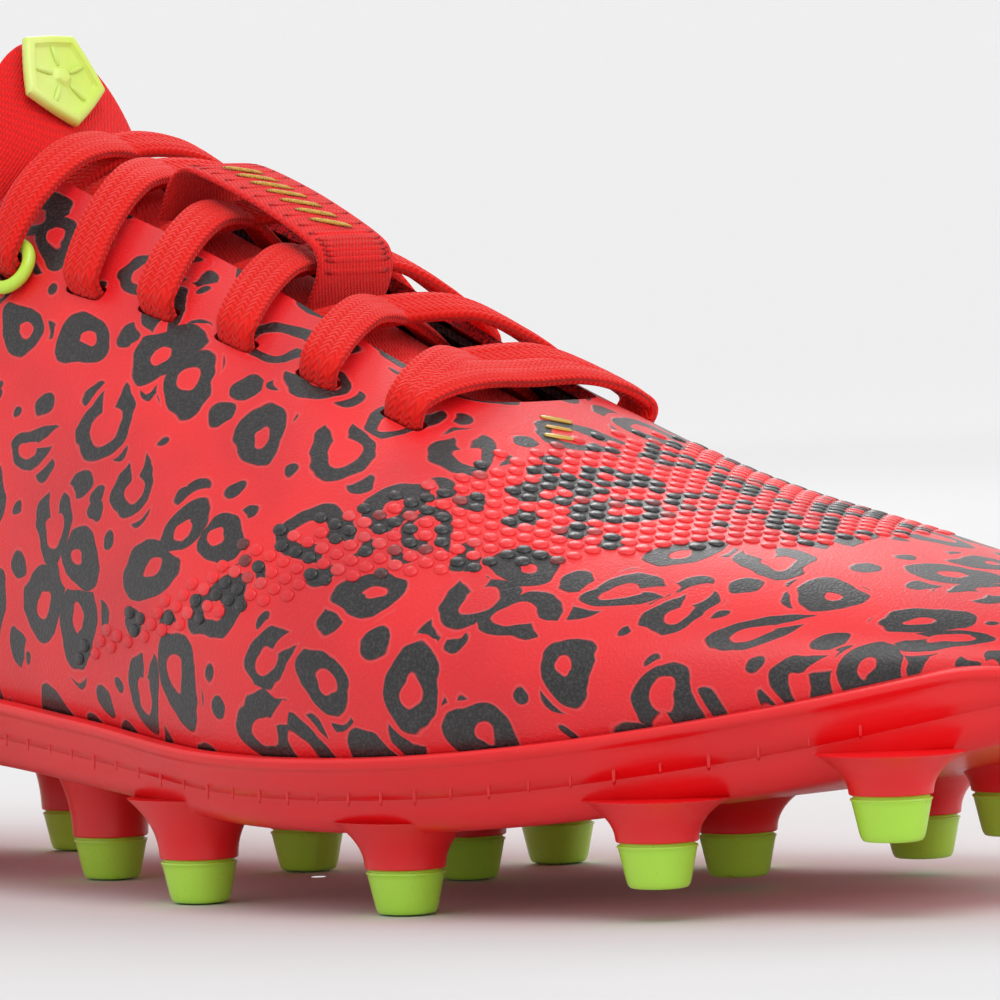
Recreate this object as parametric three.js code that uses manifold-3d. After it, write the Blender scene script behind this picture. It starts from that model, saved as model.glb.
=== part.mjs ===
// A soccer cleat for the right foot, as an assembly of its separate pieces.
// Millimetres, +Z up, toe at +X, outer (lateral) side at -Y. The stud tips stand on z = 0.
//
// Every layer of the shoe is cut from one parametric last: `section` gives the last's outline at a share u
// of its length (heel 0, toe 1), and a layer is the space between two offsets of it.

import * as THREE from "three";
import { ParametricGeometry } from "three/addons/geometries/ParametricGeometry.js";
import { mergeVertices } from "three/addons/utils/BufferGeometryUtils.js";
import Module from "manifold-3d";

const wasm = await Module();
wasm.setup();

// ---------------------------------------------------------------- driving dimensions

const LENGTH = 276; // the upper, from the back of the heel to the toe
const BALL_WIDTH = 92; // the upper, across the ball of the foot
const INSTEP_RISE = 72.5; // ridge above the sole seam at half of the length
const SKIN = 1.6; // printed synthetic upper, and the knitted collar panel
const GAP = 0.35; // between layers that touch on the real shoe
const COUNTER = 1.2; // heel counter and toe puff
const LINING = 1.0;
const PADDING = 5.6; // foam and cloth of the collar
const BOARD = 1.6; // lasting board
const MARGIN = 10; // the upper's margin, turned in under the board
const SOCKLINER = 4.0;
const SOCKLINER_SIDE = 1.8; // room beside the loose sockliner
const PLATE = 3.2; // sole plate
const RIM = 2.6; // sidewall of the sole plate
const RIM_HEIGHT = 7; // sidewall above the sole seam
const TAPE = 1.0; // tape behind the eyelets
const TAPE_WIDTH = 13;
const TONGUE = 4.2;
const TONGUE_WING = 12; // the tongue beside the throat, under the upper
const FLAP_LENGTH = 17;
const LACE_WIDTH = 6.2;
const LACE_THICK = 1.8;
const LACE_ROOM = 0.4; // around the lace
const ROWS = 6; // pairs of eyelets; the last pair has moulded rings
const ROW_FIRST = 0.648; // first and last row, as shares of the length
const ROW_LAST = 0.395;
const TOP_RUN = 2.5; // how far the top strands run back as they cross
const KEEPER_WIDTH = 14;
const KEEPER_THICK = 1.2;
const KEEPER_HEIGHT = 3.4; // middle of the keeper's webbing above the skin
const KEEPER_ROWS = [2, 4]; // the keeper's feet stand at these rows
const EYELET_IN = 9.5; // from the throat's edge to the eyelets
const RING_RADIUS = 3.3;
const RING_WIRE = 0.95;
const BUNCHED = 0.62; // the lace's width in a ring, as a share of its flat width
const TIP_HEIGHT = 5.4; // coloured tip of a stud
const TIP_TOP = 5.3; // radii of a tip, along the shoe
const TIP_BOTTOM = 4.1;
const STUD_FLARE = 9.5; // radius where a stud grows out of the plate
const STUD_SLIM = 0.84; // a stud's breadth, as a share of its length

const STATIONS = 24; // sections from heel to toe
const ARC = 7; // facets from the side of the last to its ridge
const TOP = 250; // above everything

// ---------------------------------------------------------------- curves of the last

// A smooth curve through [share of the length, value] pairs.
function through(pairs) {
  const slope = (i) => {
    const a = pairs[Math.max(i - 1, 0)];
    const b = pairs[Math.min(i + 1, pairs.length - 1)];
    return (b[1] - a[1]) / (b[0] - a[0]);
  };
  return (u) => {
    let i = 0;
    while (i < pairs.length - 2 && u > pairs[i + 1][0]) i += 1;
    const [a, b] = [pairs[i], pairs[i + 1]];
    const span = b[0] - a[0];
    const t = Math.min(Math.max((u - a[0]) / span, 0), 1);
    const [t2, t3] = [t * t, t * t * t];
    return (
      a[1] * (2 * t3 - 3 * t2 + 1) +
      slope(i) * span * (t3 - 2 * t2 + t) +
      b[1] * (3 * t2 - 2 * t3) +
      slope(i + 1) * span * (t3 - t2)
    );
  };
}

// Half widths are shares of the width across the ball; heights are millimetres above the ground.
const halfLateral = through([
  [0, 0.34], [0.12, 0.345], [0.25, 0.35], [0.38, 0.375], [0.5, 0.44],
  [0.62, 0.51], [0.72, 0.52], [0.82, 0.475], [0.9, 0.41], [1, 0.34],
]);
const halfMedial = through([
  [0, 0.33], [0.12, 0.335], [0.25, 0.33], [0.38, 0.335], [0.5, 0.365],
  [0.62, 0.43], [0.72, 0.48], [0.82, 0.48], [0.9, 0.42], [1, 0.36],
]);
const toeShift = through([[0, 0], [0.6, 0], [0.8, 3], [1, 9]]); // the toe points inwards
const ridgeOffset = through([[0, 0], [0.4, -0.5], [0.52, -1], [0.66, 0.5], [0.8, 2], [1, 2]]);
const seamHeight = through([
  [0, 19.5], [0.1, 18.5], [0.25, 19.5], [0.35, 20.5], [0.5, 17],
  [0.6, 14], [0.7, 13.6], [0.8, 15.4], [0.9, 19.5], [1, 26],
]);
const ridgeShare = through([
  [0, 1.5], [0.25, 1.4], [0.33, 1.24], [0.38, 1.14], [0.43, 1.06], [0.5, 0.97], [0.58, 0.85],
  [0.66, 0.71], [0.74, 0.565], [0.82, 0.45], [0.9, 0.36], [1, 0.26],
]); // ridge above the seam, as a share of INSTEP_RISE
const widestAbove = through([[0, 14], [0.3, 14], [0.6, 11], [1, 9]]); // widest line above the seam
const TUCK = 0.1; // how far the wall turns in below its widest line

// Lines seen from the side: [share of the length, height].
const collarLine = through([
  [-0.1, 80], [0, 79], [0.07, 75], [0.13, 66], [0.19, 61.5], [0.25, 63], [0.3, 71],
  [0.345, 84], [0.38, 97],
]);
const panelLine = through([
  [-0.1, 52], [0, 52], [0.12, 49], [0.2, 46], [0.27, 50], [0.32, 61], [0.362, 79], [0.38, 87],
]); // the knitted panel lies above this line
const paddingLine = through([[-0.1, 50], [0, 50], [0.13, 42], [0.22, 43], [0.31, 57], [0.38, 73]]);
const counterLine = through([[-0.1, 49], [0, 49], [0.12, 42], [0.24, 33], [0.34, 28]]);
const COLLAR_FRONT = 0.372; // where the collar meets the throat
const PADDING_FRONT = 0.322; // the padding stops short of the tongue's wings
const COUNTER_FRONT = 0.28;
const PUFF_BACK = 0.86;
const PADDING_PROUD = 3; // the padding above the panel's edge

// The throat, seen from above: half of its width.
const throatHalf = through([[0.26, 15], [0.38, 13.8], [0.52, 13], [0.65, 12], [0.69, 11.5]]);
const THROAT_END = 0.672;

const roundOff = (t, power) => Math.pow(1 - Math.pow(Math.min(Math.max(t, 0), 1), power), 1 / 2.2);
const NARROWEST = 0.02; // the end faces of the last
const endsRound = (u) =>
  Math.max(NARROWEST, roundOff(1 - u / 0.115, 2.2) * roundOff((u - 0.72) / 0.28, 2.4));
const toeRound = (u) => Math.max(NARROWEST, roundOff((u - 0.8) / 0.2, 2.2));

// The last's outline at share u, grown by o. Its ends close with u, and all else follows x.
function section(u, o) {
  const x = -o + u * (LENGTH + 2 * o);
  const at = Math.min(Math.max(x / LENGTH, 0), 1);
  const ends = endsRound(u);
  const toe = toeRound(u);
  const middle = toeShift(at);
  const seam = seamHeight(at);
  return {
    x,
    seam,
    middle,
    lateral: -(halfLateral(at) * BALL_WIDTH + o) * ends,
    medial: (halfMedial(at) * BALL_WIDTH + o) * ends,
    ridge: middle + ridgeOffset(at) * ends,
    low: seam - o * toe,
    widest: seam + widestAbove(at) * toe,
    high: seam + (ridgeShare(at) * INSTEP_RISE + o) * toe,
  };
}

// The back of the heel leans forward above and below its fullest height.
function leaned(x, y, z) {
  const near = Math.max(0, 1 - Math.max(x, 0) / 90);
  const lean = z > 38 ? 7 * ((z - 38) / 42) ** 2 : 3 * ((38 - z) / 20) ** 2;
  return new THREE.Vector3(x + Math.min(lean, 12) * near * near, y, z);
}

// How far out the wall stands at height z, as a share of its widest.
function wallShare(s, z) {
  const t = Math.min(Math.max((z - s.low) / (s.widest - s.low), 0), 1);
  return 1 - TUCK * (1 - t) ** 2;
}

const stationShares = Array.from({ length: STATIONS + 1 }, (_, i) => {
  const v = i / STATIONS;
  return 0.8 * (0.5 - 0.5 * Math.cos(Math.PI * v)) + 0.2 * v;
});

// ---------------------------------------------------------------- solids

// A closed geometry as a solid: shared vertices merged, empty triangles dropped, faces out.
function solid(geometry) {
  const bare = geometry.clone();
  bare.deleteAttribute("normal");
  bare.deleteAttribute("uv");
  const merged = mergeVertices(bare, 1e-4);
  const index = Array.from(merged.index.array);
  let triVerts = [];
  for (let i = 0; i < index.length; i += 3) {
    const [a, b, c] = index.slice(i, i + 3);
    if (a !== b && b !== c && c !== a) triVerts.push(a, b, c);
  }
  const vertProperties = merged.getAttribute("position").array;
  const corner = (i) => new THREE.Vector3().fromArray(vertProperties, 3 * i);
  let volume = 0;
  for (let i = 0; i < triVerts.length; i += 3)
    volume += corner(triVerts[i]).dot(corner(triVerts[i + 1]).cross(corner(triVerts[i + 2])));
  if (volume < 0) triVerts = triVerts.reverse();
  const mesh = new wasm.Mesh({ numProp: 3, vertProperties, triVerts: new Uint32Array(triVerts) });
  return new wasm.Manifold(mesh);
}

// A solid through a row of rings with equally many points, closed flat at both ends.
function loft(rings) {
  const middle = (ring) =>
    ring.reduce((sum, p) => sum.add(p), new THREE.Vector3()).divideScalar(ring.length);
  const rows = [[middle(rings[0])], ...rings, [middle(rings.at(-1))]];
  const count = rings[0].length;
  const point = (u, v, target) => {
    const row = rows[Math.round(v * (rows.length - 1))];
    target.copy(row[Math.round(u * count) % row.length]);
  };
  return solid(new ParametricGeometry(point, count, rows.length - 1));
}

const steps = (n, from, to) => Array.from({ length: n + 1 }, (_, i) => from + ((to - from) * i) / n);

// The whole last, grown by o.
function lastSolid(o) {
  return loft(
    stationShares.map((u) => {
      const s = section(u, o);
      const half = (side) => {
        const points = [[0.5 * side * (1 - TUCK), s.low]];
        for (const t of steps(2, 0, 1))
          points.push([side * (1 - TUCK * (1 - t) ** 2), s.low + t * (s.widest - s.low)]);
        const out = s.middle + side - s.ridge;
        const list = points.map(([y, z]) => [s.middle + y, z]);
        for (const a of steps(ARC, 0, Math.PI / 2).slice(1))
          list.push([s.ridge + out * Math.cos(a), s.widest + (s.high - s.widest) * Math.sin(a)]);
        return list;
      };
      const medial = half(s.medial).slice(0, -1);
      const ring = [[s.middle, s.low], ...half(s.lateral), ...medial.reverse()];
      return ring.map(([y, z]) => leaned(s.x, y, z));
    }),
  );
}

// A slab across the last, grown by o, between two heights above the seam.
function slab(o, from, to) {
  return loft(
    stationShares.map((u) => {
      const s = section(u, o);
      const across = (z) =>
        [s.lateral, 0, s.medial].map((y) => leaned(s.x, s.middle + y * wallShare(s, z), z));
      return [...across(s.seam + from), ...across(s.seam + to).reverse()];
    }),
  );
}

// An outline of [x, z] points, drawn through the whole breadth of the shoe.
function throughY(points) {
  const shape = new THREE.Shape(points.map(([x, z]) => new THREE.Vector2(x, z)));
  const breadth = 4 * BALL_WIDTH;
  const geometry = new THREE.ExtrudeGeometry(shape, { depth: breadth, bevelEnabled: false });
  return solid(geometry.rotateX(Math.PI / 2).translate(0, breadth / 2, 0));
}

// An outline of [x, y] points, from height z up.
function upFrom(points, z) {
  const shape = new THREE.Shape(points.map(([x, y]) => new THREE.Vector2(x, y)));
  const geometry = new THREE.ExtrudeGeometry(shape, { depth: TOP - z, bevelEnabled: false });
  return solid(geometry.translate(0, 0, z));
}

// Everything above a side line, from behind the heel to share `front`.
function above(line, raise, front) {
  const points = steps(14, -0.1, front).map((u) => [u * LENGTH, line(u) + raise]);
  return throughY([...points, [front * LENGTH, TOP], [-0.1 * LENGTH, TOP]]);
}

// Everything between two shares of the length.
const between = (from, to) =>
  throughY([[from * LENGTH, -50], [to * LENGTH, -50], [to * LENGTH, TOP], [from * LENGTH, TOP]]);

// The throat and all above it, widened by `wider` on each side.
function throat(wider) {
  const back = 0.25;
  const edge = (side) =>
    steps(9, back, THROAT_END - 0.02).map((u) => [
      u * LENGTH,
      section(u, 0).ridge + side * (throatHalf(u) + wider),
    ]);
  const centre = section(THROAT_END, 0).ridge;
  const half = throatHalf(THROAT_END) + wider;
  const end = steps(5, -60, 60).map((deg) => {
    const a = (deg * Math.PI) / 180;
    return [THROAT_END * LENGTH + wider - half * (1 - Math.cos(a)) * 0.6, centre + half * Math.sin(a)];
  });
  return upFrom([...edge(-1), ...end, ...edge(1).reverse()], 42);
}

// ---------------------------------------------------------------- places on the last

// Height of the skin over (x, y), for the part in front of the ankle.
function skinHeight(x, y) {
  const s = section(x / LENGTH, 0);
  const out = y < s.ridge ? s.middle + s.lateral - s.ridge : s.middle + s.medial - s.ridge;
  const share = Math.min((y - s.ridge) / out, 1);
  return s.widest + (s.high - s.widest) * Math.sqrt(1 - share * share);
}

function skinNormal(x, y) {
  const d = 0.5;
  const dx = (skinHeight(x + d, y) - skinHeight(x - d, y)) / (2 * d);
  const dy = (skinHeight(x, y + d) - skinHeight(x, y - d)) / (2 * d);
  return new THREE.Vector3(-dx, -dy, 1).normalize();
}

// A point h above the skin, `aside` from the ridge line.
function onSkin(x, aside, h) {
  const y = section(x / LENGTH, 0).ridge + aside;
  return new THREE.Vector3(x, y, skinHeight(x, y)).addScaledVector(skinNormal(x, y), h);
}

const rowX = (row) => LENGTH * (ROW_FIRST + ((ROW_LAST - ROW_FIRST) * row) / (ROWS - 1));
const rowAside = (row) => throatHalf(rowX(row) / LENGTH) + EYELET_IN;

// The place of an eyelet, with the directions along its row line, across the shoe and out.
function eyelet(row, side) {
  const x = rowX(row);
  const aside = side * rowAside(row);
  const at = onSkin(x, aside, 0);
  const along = onSkin(x + 1, aside, 0).sub(onSkin(x - 1, aside, 0)).normalize();
  const out = skinNormal(x, at.y);
  const across = new THREE.Vector3().crossVectors(out, along).normalize();
  return { x, aside, at, basis: new THREE.Matrix4().makeBasis(along, across, out).setPosition(at) };
}

// ---------------------------------------------------------------- sole

const plateHeight = (u) => seamHeight(u) - PLATE;

// The plate and its sidewall before the foot's hollow is taken out.
function soleBlock() {
  const corner = 4.5;
  return loft(
    steps(STATIONS + 6, 0, 1).map((v) => {
      const u = 0.5 - 0.5 * Math.cos(Math.PI * v);
      const grown = section(u, RIM);
      const { seam, middle } = grown;
      const top = seam + RIM_HEIGHT;
      const wall = (side, z) => side * wallShare({ ...grown, low: seam }, z);
      const half = (side) => {
        const foot = Math.abs(side) * (1 - TUCK) - corner * Math.min(1, Math.abs(side) / 20);
        const sign = Math.sign(side);
        const reach = Math.abs(side) * (1 - TUCK) - foot;
        const points = [[sign * foot * 0.5, seam - PLATE]];
        for (const a of steps(3, 0, Math.PI / 2))
          points.push([
            sign * (foot + reach * Math.sin(a)),
            seam - PLATE + corner * (1 - Math.cos(a)),
          ]);
        points.push([wall(side, (seam + top) / 2 + 1), (seam + top) / 2 + 1]);
        points.push([wall(side, top) * 0.995, top]);
        return points;
      };
      const lateral = half(grown.lateral);
      const medial = half(grown.medial).reverse();
      const ring = [[0, seam - PLATE], ...lateral, [0, top], ...medial];
      return ring.map(([y, z]) => leaned(grown.x, middle + y, z));
    }),
  );
}

// Studs: [name, share of the length, y, height of the tip above the ground].
const STUDS = [
  ["lateral_heel_back", 0.09, -18, 0],
  ["lateral_heel_front", 0.25, -22, 0],
  ["medial_heel_back", 0.09, 18, 0],
  ["medial_heel_front", 0.25, 20, 0],
  ["lateral_1", 0.551, -35, 0],
  ["lateral_2", 0.696, -37, 0],
  ["lateral_3", 0.838, -32, 4],
  ["lateral_4", 0.94, -20, 9.5],
  ["medial_1", 0.57, 27, 0],
  ["medial_2", 0.68, 30, 0],
  ["medial_3", 0.795, 31, 2],
  ["medial_4", 0.886, 20, 6.5],
  ["centre_1", 0.404, -13, 0],
  ["centre_2", 0.472, 6, 0],
  ["centre_3", 0.59, 4, 0],
  ["centre_4", 0.76, 6, 1.5],
];

function turned(profile, x, y, z) {
  const geometry = new THREE.LatheGeometry(
    profile.map(([r, h]) => new THREE.Vector2(r, h)),
    10,
  );
  geometry.rotateX(Math.PI / 2).scale(1, STUD_SLIM, 1);
  return solid(geometry.translate(x, y, z));
}

function studTip(share, y, foot) {
  const profile = [
    [0, 0], [TIP_BOTTOM - 0.7, 0], [TIP_BOTTOM, 0.7], [TIP_TOP, TIP_HEIGHT], [0, TIP_HEIGHT],
  ];
  return turned(profile, share * LENGTH, y, foot);
}

function studBase(share, y, foot) {
  const start = foot + TIP_HEIGHT + GAP;
  const rise = plateHeight(share) + 1.6 - start;
  const profile = [[0, 0], [TIP_TOP + 0.1, 0]];
  for (const t of steps(2, 0.4, 1))
    profile.push([TIP_TOP + 0.1 + (STUD_FLARE - TIP_TOP) * t ** 2.2, rise * t]);
  profile.push([0, rise]);
  return turned(profile, share * LENGTH, y, start);
}

function outsole() {
  let made = soleBlock();
  for (const [, share, y, foot] of STUDS) made = made.add(studBase(share, y, foot));
  return made.subtract(lastSolid(GAP));
}

// ---------------------------------------------------------------- upper and linings

const last = lastSolid(0);
const insideSkin = lastSolid(-SKIN);
const behindSkin = lastSolid(-SKIN - GAP);
const insideCounter = lastSolid(-SKIN - GAP - COUNTER);
const behindCounter = lastSolid(-SKIN - COUNTER - 2 * GAP);
const insideLining = lastSolid(-SKIN - COUNTER - LINING - 2 * GAP);
const BOARD_LOW = SKIN + GAP;
const FLOOR = BOARD_LOW + BOARD + GAP; // above the seam; linings and the sockliner stand on it
const belowFloor = slab(20, -40, FLOOR);

// Slits and ring holes through the skin and the tape.
function eyeletHoles() {
  const holes = [];
  for (let row = 0; row < ROWS; row += 1)
    for (const side of [-1, 1]) {
      const hole =
        row === ROWS - 1
          ? new THREE.CylinderGeometry(RING_RADIUS - RING_WIRE, RING_RADIUS - RING_WIRE, 12, 12)
          : new THREE.BoxGeometry(LACE_WIDTH + 2 * LACE_ROOM, 12, LACE_THICK + 2 * LACE_ROOM);
      hole.rotateX(Math.PI / 2);
      holes.push(solid(hole.applyMatrix4(eyelet(row, side).basis)));
    }
  return holes;
}
const holes = eyeletHoles();
const punched = (shape) => holes.reduce((left, hole) => left.subtract(hole), shape);

const skinShell = last
  .subtract(insideSkin)
  .subtract(slab(-SKIN - MARGIN, -20, SKIN + 1))
  .subtract(throat(0))
  .subtract(above(collarLine, 0, COLLAR_FRONT));

const upper = () => punched(skinShell.subtract(above(panelLine, -GAP, COLLAR_FRONT)));
const collarPanel = () => skinShell.intersect(above(panelLine, 0, COLLAR_FRONT - GAP / LENGTH));

const lining = () =>
  behindCounter
    .subtract(insideLining)
    .subtract(belowFloor)
    .subtract(slab(-SKIN - COUNTER - LINING - 2 * GAP, 0, FLOOR + 2))
    .subtract(throat(TAPE_WIDTH + 2))
    .subtract(above(paddingLine, -GAP, COLLAR_FRONT + 0.01));

const collarPadding = () =>
  behindSkin
    .subtract(lastSolid(-SKIN - GAP - PADDING))
    .intersect(above(paddingLine, 0, PADDING_FRONT))
    .subtract(above(collarLine, PADDING_PROUD, COLLAR_FRONT));

const heelCounter = () =>
  behindSkin
    .subtract(insideCounter)
    .subtract(belowFloor)
    .subtract(above(counterLine, 0, COUNTER_FRONT))
    .intersect(between(-0.1, COUNTER_FRONT - 0.005));

const toePuff = () =>
  behindSkin.subtract(insideCounter).subtract(belowFloor).intersect(between(PUFF_BACK, 1.1));

const lastingBoard = () =>
  slab(-SKIN - 2 * GAP, BOARD_LOW, BOARD_LOW + BOARD).intersect(behindSkin);

const sockliner = () =>
  slab(
    -SKIN - COUNTER - LINING - 2 * GAP - SOCKLINER_SIDE,
    FLOOR,
    FLOOR + SOCKLINER,
  ).intersect(between(0, 0.93));

// The tape behind one row of eyelets.
function eyestay(side) {
  const x = ((ROW_FIRST + ROW_LAST) / 2) * LENGTH;
  const y = side * 2 * BALL_WIDTH;
  const half = [[0, 0], [2 * x, 0], [2 * x, y], [0, y]];
  const ends = between(COLLAR_FRONT + 0.002, ROW_FIRST + 0.02);
  const made = lastSolid(-SKIN - GAP)
    .subtract(lastSolid(-SKIN - GAP - TAPE))
    .intersect(throat(TAPE_WIDTH))
    .subtract(throat(0.6))
    .intersect(upFrom(side < 0 ? half.reverse() : half, 40))
    .intersect(ends);
  return punched(made);
}

// A moulded ring round the top eyelet of one side.
function eyeletRing(side) {
  const { basis } = eyelet(ROWS - 1, side);
  const ring = new THREE.TorusGeometry(RING_RADIUS, RING_WIRE, 6, 14);
  return solid(ring.translate(0, 0, RING_WIRE + GAP).applyMatrix4(basis));
}

// ---------------------------------------------------------------- tongue

const UNDER_SKIN = SKIN + TAPE + GAP + LACE_THICK + 2 * LACE_ROOM; // top of the tongue below the skin
const TONGUE_FRONT = 0.7;
const HINGE = 0.364; // where the loose flap begins, above the top lace and the collar's corners
const HINGE_ROOM = 0.9;
const FLAP_WIDTH = 46;
const flapHalf = (s) => {
  const root = throatHalf(HINGE) - 1;
  const swell = root + (FLAP_WIDTH / 2 - root) * Math.min(1, s / (0.3 * FLAP_LENGTH));
  const t = Math.max(0, (s - 0.45 * FLAP_LENGTH) / (0.55 * FLAP_LENGTH));
  return swell * Math.sqrt(Math.max(0.0025, 1 - t * t));
};

// A point of the tongue's base: `deep` below its upper face.
const basePoint = (u, aside, deep) => onSkin(u * LENGTH, aside, -UNDER_SKIN - deep);

// A point of the flap, s above its root. It stands steeper than the instep and flattens upwards.
function flapPoint(s, aside, deep) {
  const root = basePoint(HINGE, 0, deep);
  const foot = basePoint(HINGE, aside, deep);
  const share = s / FLAP_LENGTH;
  const steep = ((58 + 8 * share) * Math.PI) / 180;
  const drop = (root.z - foot.z) * (1 - 0.45 * share);
  const back = (root.x - foot.x) * (1 - 0.45 * share);
  return new THREE.Vector3(
    root.x - s * Math.cos(steep) - back,
    foot.y,
    root.z + s * Math.sin(steep) - drop,
  );
}

// A bent slab from stations of [half width, point function], its ends closed straight across.
function bentSlab(stations, thick) {
  const across = steps(8, -1, 1);
  const count = across.length;
  const points = stations.flatMap(([half, point]) => [
    ...across.map((t) => point(t * half, 0)),
    ...across.map((t) => point(t * half, thick)),
  ]);
  const index = [];
  const quad = (a, b, c, d) => index.push(a, b, c, a, c, d);
  const last = (stations.length - 1) * 2 * count;
  for (let j = 0; j < count - 1; j += 1) {
    quad(j + 1, j, count + j, count + j + 1);
    quad(last + j, last + j + 1, last + count + j + 1, last + count + j);
  }
  for (let i = 0; i < last; i += 2 * count) {
    const next = i + 2 * count;
    for (let j = 0; j < count - 1; j += 1) {
      quad(i + j, i + j + 1, next + j + 1, next + j);
      quad(i + count + j + 1, i + count + j, next + count + j, next + count + j + 1);
    }
    quad(i + count, i, next, next + count);
    quad(i + count - 1, i + 2 * count - 1, next + 2 * count - 1, next + count - 1);
  }
  return solid(new THREE.BufferGeometry().setFromPoints(points).setIndex(index));
}

const tongueBase = () =>
  bentSlab(
    steps(12, TONGUE_FRONT, HINGE).map((u) => [
      throatHalf(u) + TONGUE_WING,
      (aside, deep) => basePoint(u, aside, deep),
    ]),
    TONGUE,
  );

const tongueFlap = () =>
  bentSlab(
    steps(10, HINGE_ROOM, FLAP_LENGTH).map((s) => [
      flapHalf(s),
      (aside, deep) => flapPoint(s, aside, deep),
    ]),
    TONGUE,
  );

// A moulded five-sided badge on the flap.
const BADGE_RADIUS = 7.5;
const BADGE_HEIGHT = 1.6;
const BADGE_UP = 0.56; // its middle, as a share of the flap
function flapBasis(s, lift) {
  const at = flapPoint(s, 0, 0);
  const up = flapPoint(s + 1, 0, 0).sub(flapPoint(s - 1, 0, 0)).normalize();
  const side = new THREE.Vector3(0, 1, 0);
  const out = new THREE.Vector3().crossVectors(side, up).multiplyScalar(-1).normalize();
  if (out.x < 0) out.negate();
  const right = new THREE.Vector3().crossVectors(up, out);
  return new THREE.Matrix4().makeBasis(right, up, out).setPosition(at.addScaledVector(out, lift));
}

function tongueBadge() {
  const geometry = new THREE.CylinderGeometry(BADGE_RADIUS * 0.75, BADGE_RADIUS, BADGE_HEIGHT, 5);
  geometry.rotateX(Math.PI / 2);
  const lifted = flapBasis(BADGE_UP * FLAP_LENGTH, BADGE_HEIGHT / 2 + GAP + 0.25);
  return solid(geometry.applyMatrix4(lifted));
}

// ---------------------------------------------------------------- lace and keeper

// A flat band along stations of [middle, direction of its width, share of the full width].
function band(stations, width, thick) {
  return loft(
    stations.map(([at, wide, share = 1], i) => {
      const before = stations[Math.max(i - 1, 0)][0];
      const after = stations[Math.min(i + 1, stations.length - 1)][0];
      const ahead = after.clone().sub(before).normalize();
      const w = wide.clone().addScaledVector(ahead, -wide.dot(ahead)).normalize();
      const n = new THREE.Vector3().crossVectors(ahead, w);
      return steps(5, 0, (5 / 6) * 2 * Math.PI).map((a) => {
        const flat = (v) => Math.sign(v) * Math.abs(v) ** 0.6;
        return at
          .clone()
          .addScaledVector(w, (share * width * flat(Math.cos(a))) / 2)
          .addScaledVector(n, (thick / 2) * flat(Math.sin(a)));
      });
    }),
  );
}

const OVER = LACE_THICK / 2 + LACE_ROOM + 0.2; // middle of the lace above the skin
const UNDER = SKIN + GAP + TAPE + LACE_ROOM + LACE_THICK / 2; // and below it

// A point of the lace: h above the skin, with its width along the row of eyelets.
function laceStation(x, aside, h, share = 1) {
  const at = onSkin(x, aside, h);
  return [at, onSkin(x + 1, aside, h).sub(onSkin(x - 1, aside, h)).normalize(), share];
}

// One strand, up through the eyelet of `row` on `side`, over the throat and to its far margin, `ahead`
// in front of where it began. It goes down through an eyelet there, or dives below the margin.
function strand(row, side, ahead, dives, short = 0) {
  const ringed = row === ROWS - 1;
  const width = ringed ? BUNCHED : 1;
  const hop = OVER + (ringed ? RING_WIRE + 1.1 : 0.9);
  const [x0, x1] = [rowX(row), rowX(row) + ahead];
  const [a0, a1] = [side * rowAside(row), -side * (rowAside(row) - short)];
  const at = (t, h) => laceStation(x0 + (x1 - x0) * t, a0 + (a1 - a0) * t, h);
  const far = dives ? -UNDER : OVER;
  const points = [
    laceStation(x0, a0, -UNDER, width),
    laceStation(x0, a0, ringed ? OVER : 0.3, width),
    laceStation(x0, a0 - side * 1.1, hop, (1 + width) / 2),
    at(0.14, hop),
    at(0.3, OVER),
    at(0.5, dives ? -1.6 : OVER - 1),
    at(0.7, dives ? far + 0.5 : OVER),
    at(0.86, dives ? far : OVER + 0.9),
    laceStation(x1, a1 + side * (dives ? 0 : 1.1), dives ? far : OVER + 0.9),
  ];
  if (!dives) points.push(laceStation(x1, a1, 0.3), laceStation(x1, a1, -UNDER));
  return band(points, LACE_WIDTH, LACE_THICK);
}

function lace() {
  const apart = rowX(1) - rowX(0);
  let made = strand(0, -1, 0, false);
  for (let row = 0; row < ROWS; row += 1)
    for (const side of [-1, 1]) {
      const top = row === ROWS - 1;
      const ahead = top ? -TOP_RUN : apart;
      made = made.add(strand(row, side, ahead, true, top ? EYELET_IN / 2 : 0));
    }
  return made;
}

// The webbing loop along the tongue that keeps the lace in the middle.
function laceKeeper() {
  const station = (x, h) => {
    const at = onSkin(x, 0, h);
    return [at, new THREE.Vector3(0, 1, 0)];
  };
  const [back, front] = [rowX(KEEPER_ROWS[1]), rowX(KEEPER_ROWS[0])];
  const foot = -UNDER_SKIN + GAP;
  const shoulder = KEEPER_HEIGHT - 1.2;
  return band(
    [
      station(back, foot), station(back, shoulder), station(back + 2, KEEPER_HEIGHT),
      station((back + front) / 2, KEEPER_HEIGHT + 0.4),
      station(front - 2, KEEPER_HEIGHT), station(front, shoulder), station(front, foot),
    ],
    KEEPER_WIDTH,
    KEEPER_THICK,
  );
}

// ---------------------------------------------------------------- assembly

const RED = 0xf03c3c;
const NEON = 0xc8ee4e;
const paint = (color, roughness) => new THREE.MeshStandardMaterial({ color, roughness, metalness: 0 });
const shoe = new THREE.Group();

function node(name, shape, color, roughness) {
  const mesh = shape.getMesh();
  const geometry = new THREE.BufferGeometry();
  const n = mesh.numProp;
  const places = new Float32Array(mesh.numVert * 3);
  for (let i = 0; i < mesh.numVert; i += 1)
    places.set(mesh.vertProperties.subarray(i * n, i * n + 3), i * 3);
  geometry.setAttribute("position", new THREE.BufferAttribute(places, 3));
  geometry.setIndex(new THREE.BufferAttribute(mesh.triVerts, 1));
  geometry.computeVertexNormals();
  const made = new THREE.Mesh(geometry, paint(color, roughness));
  made.name = name;
  shoe.add(made);
}

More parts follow.
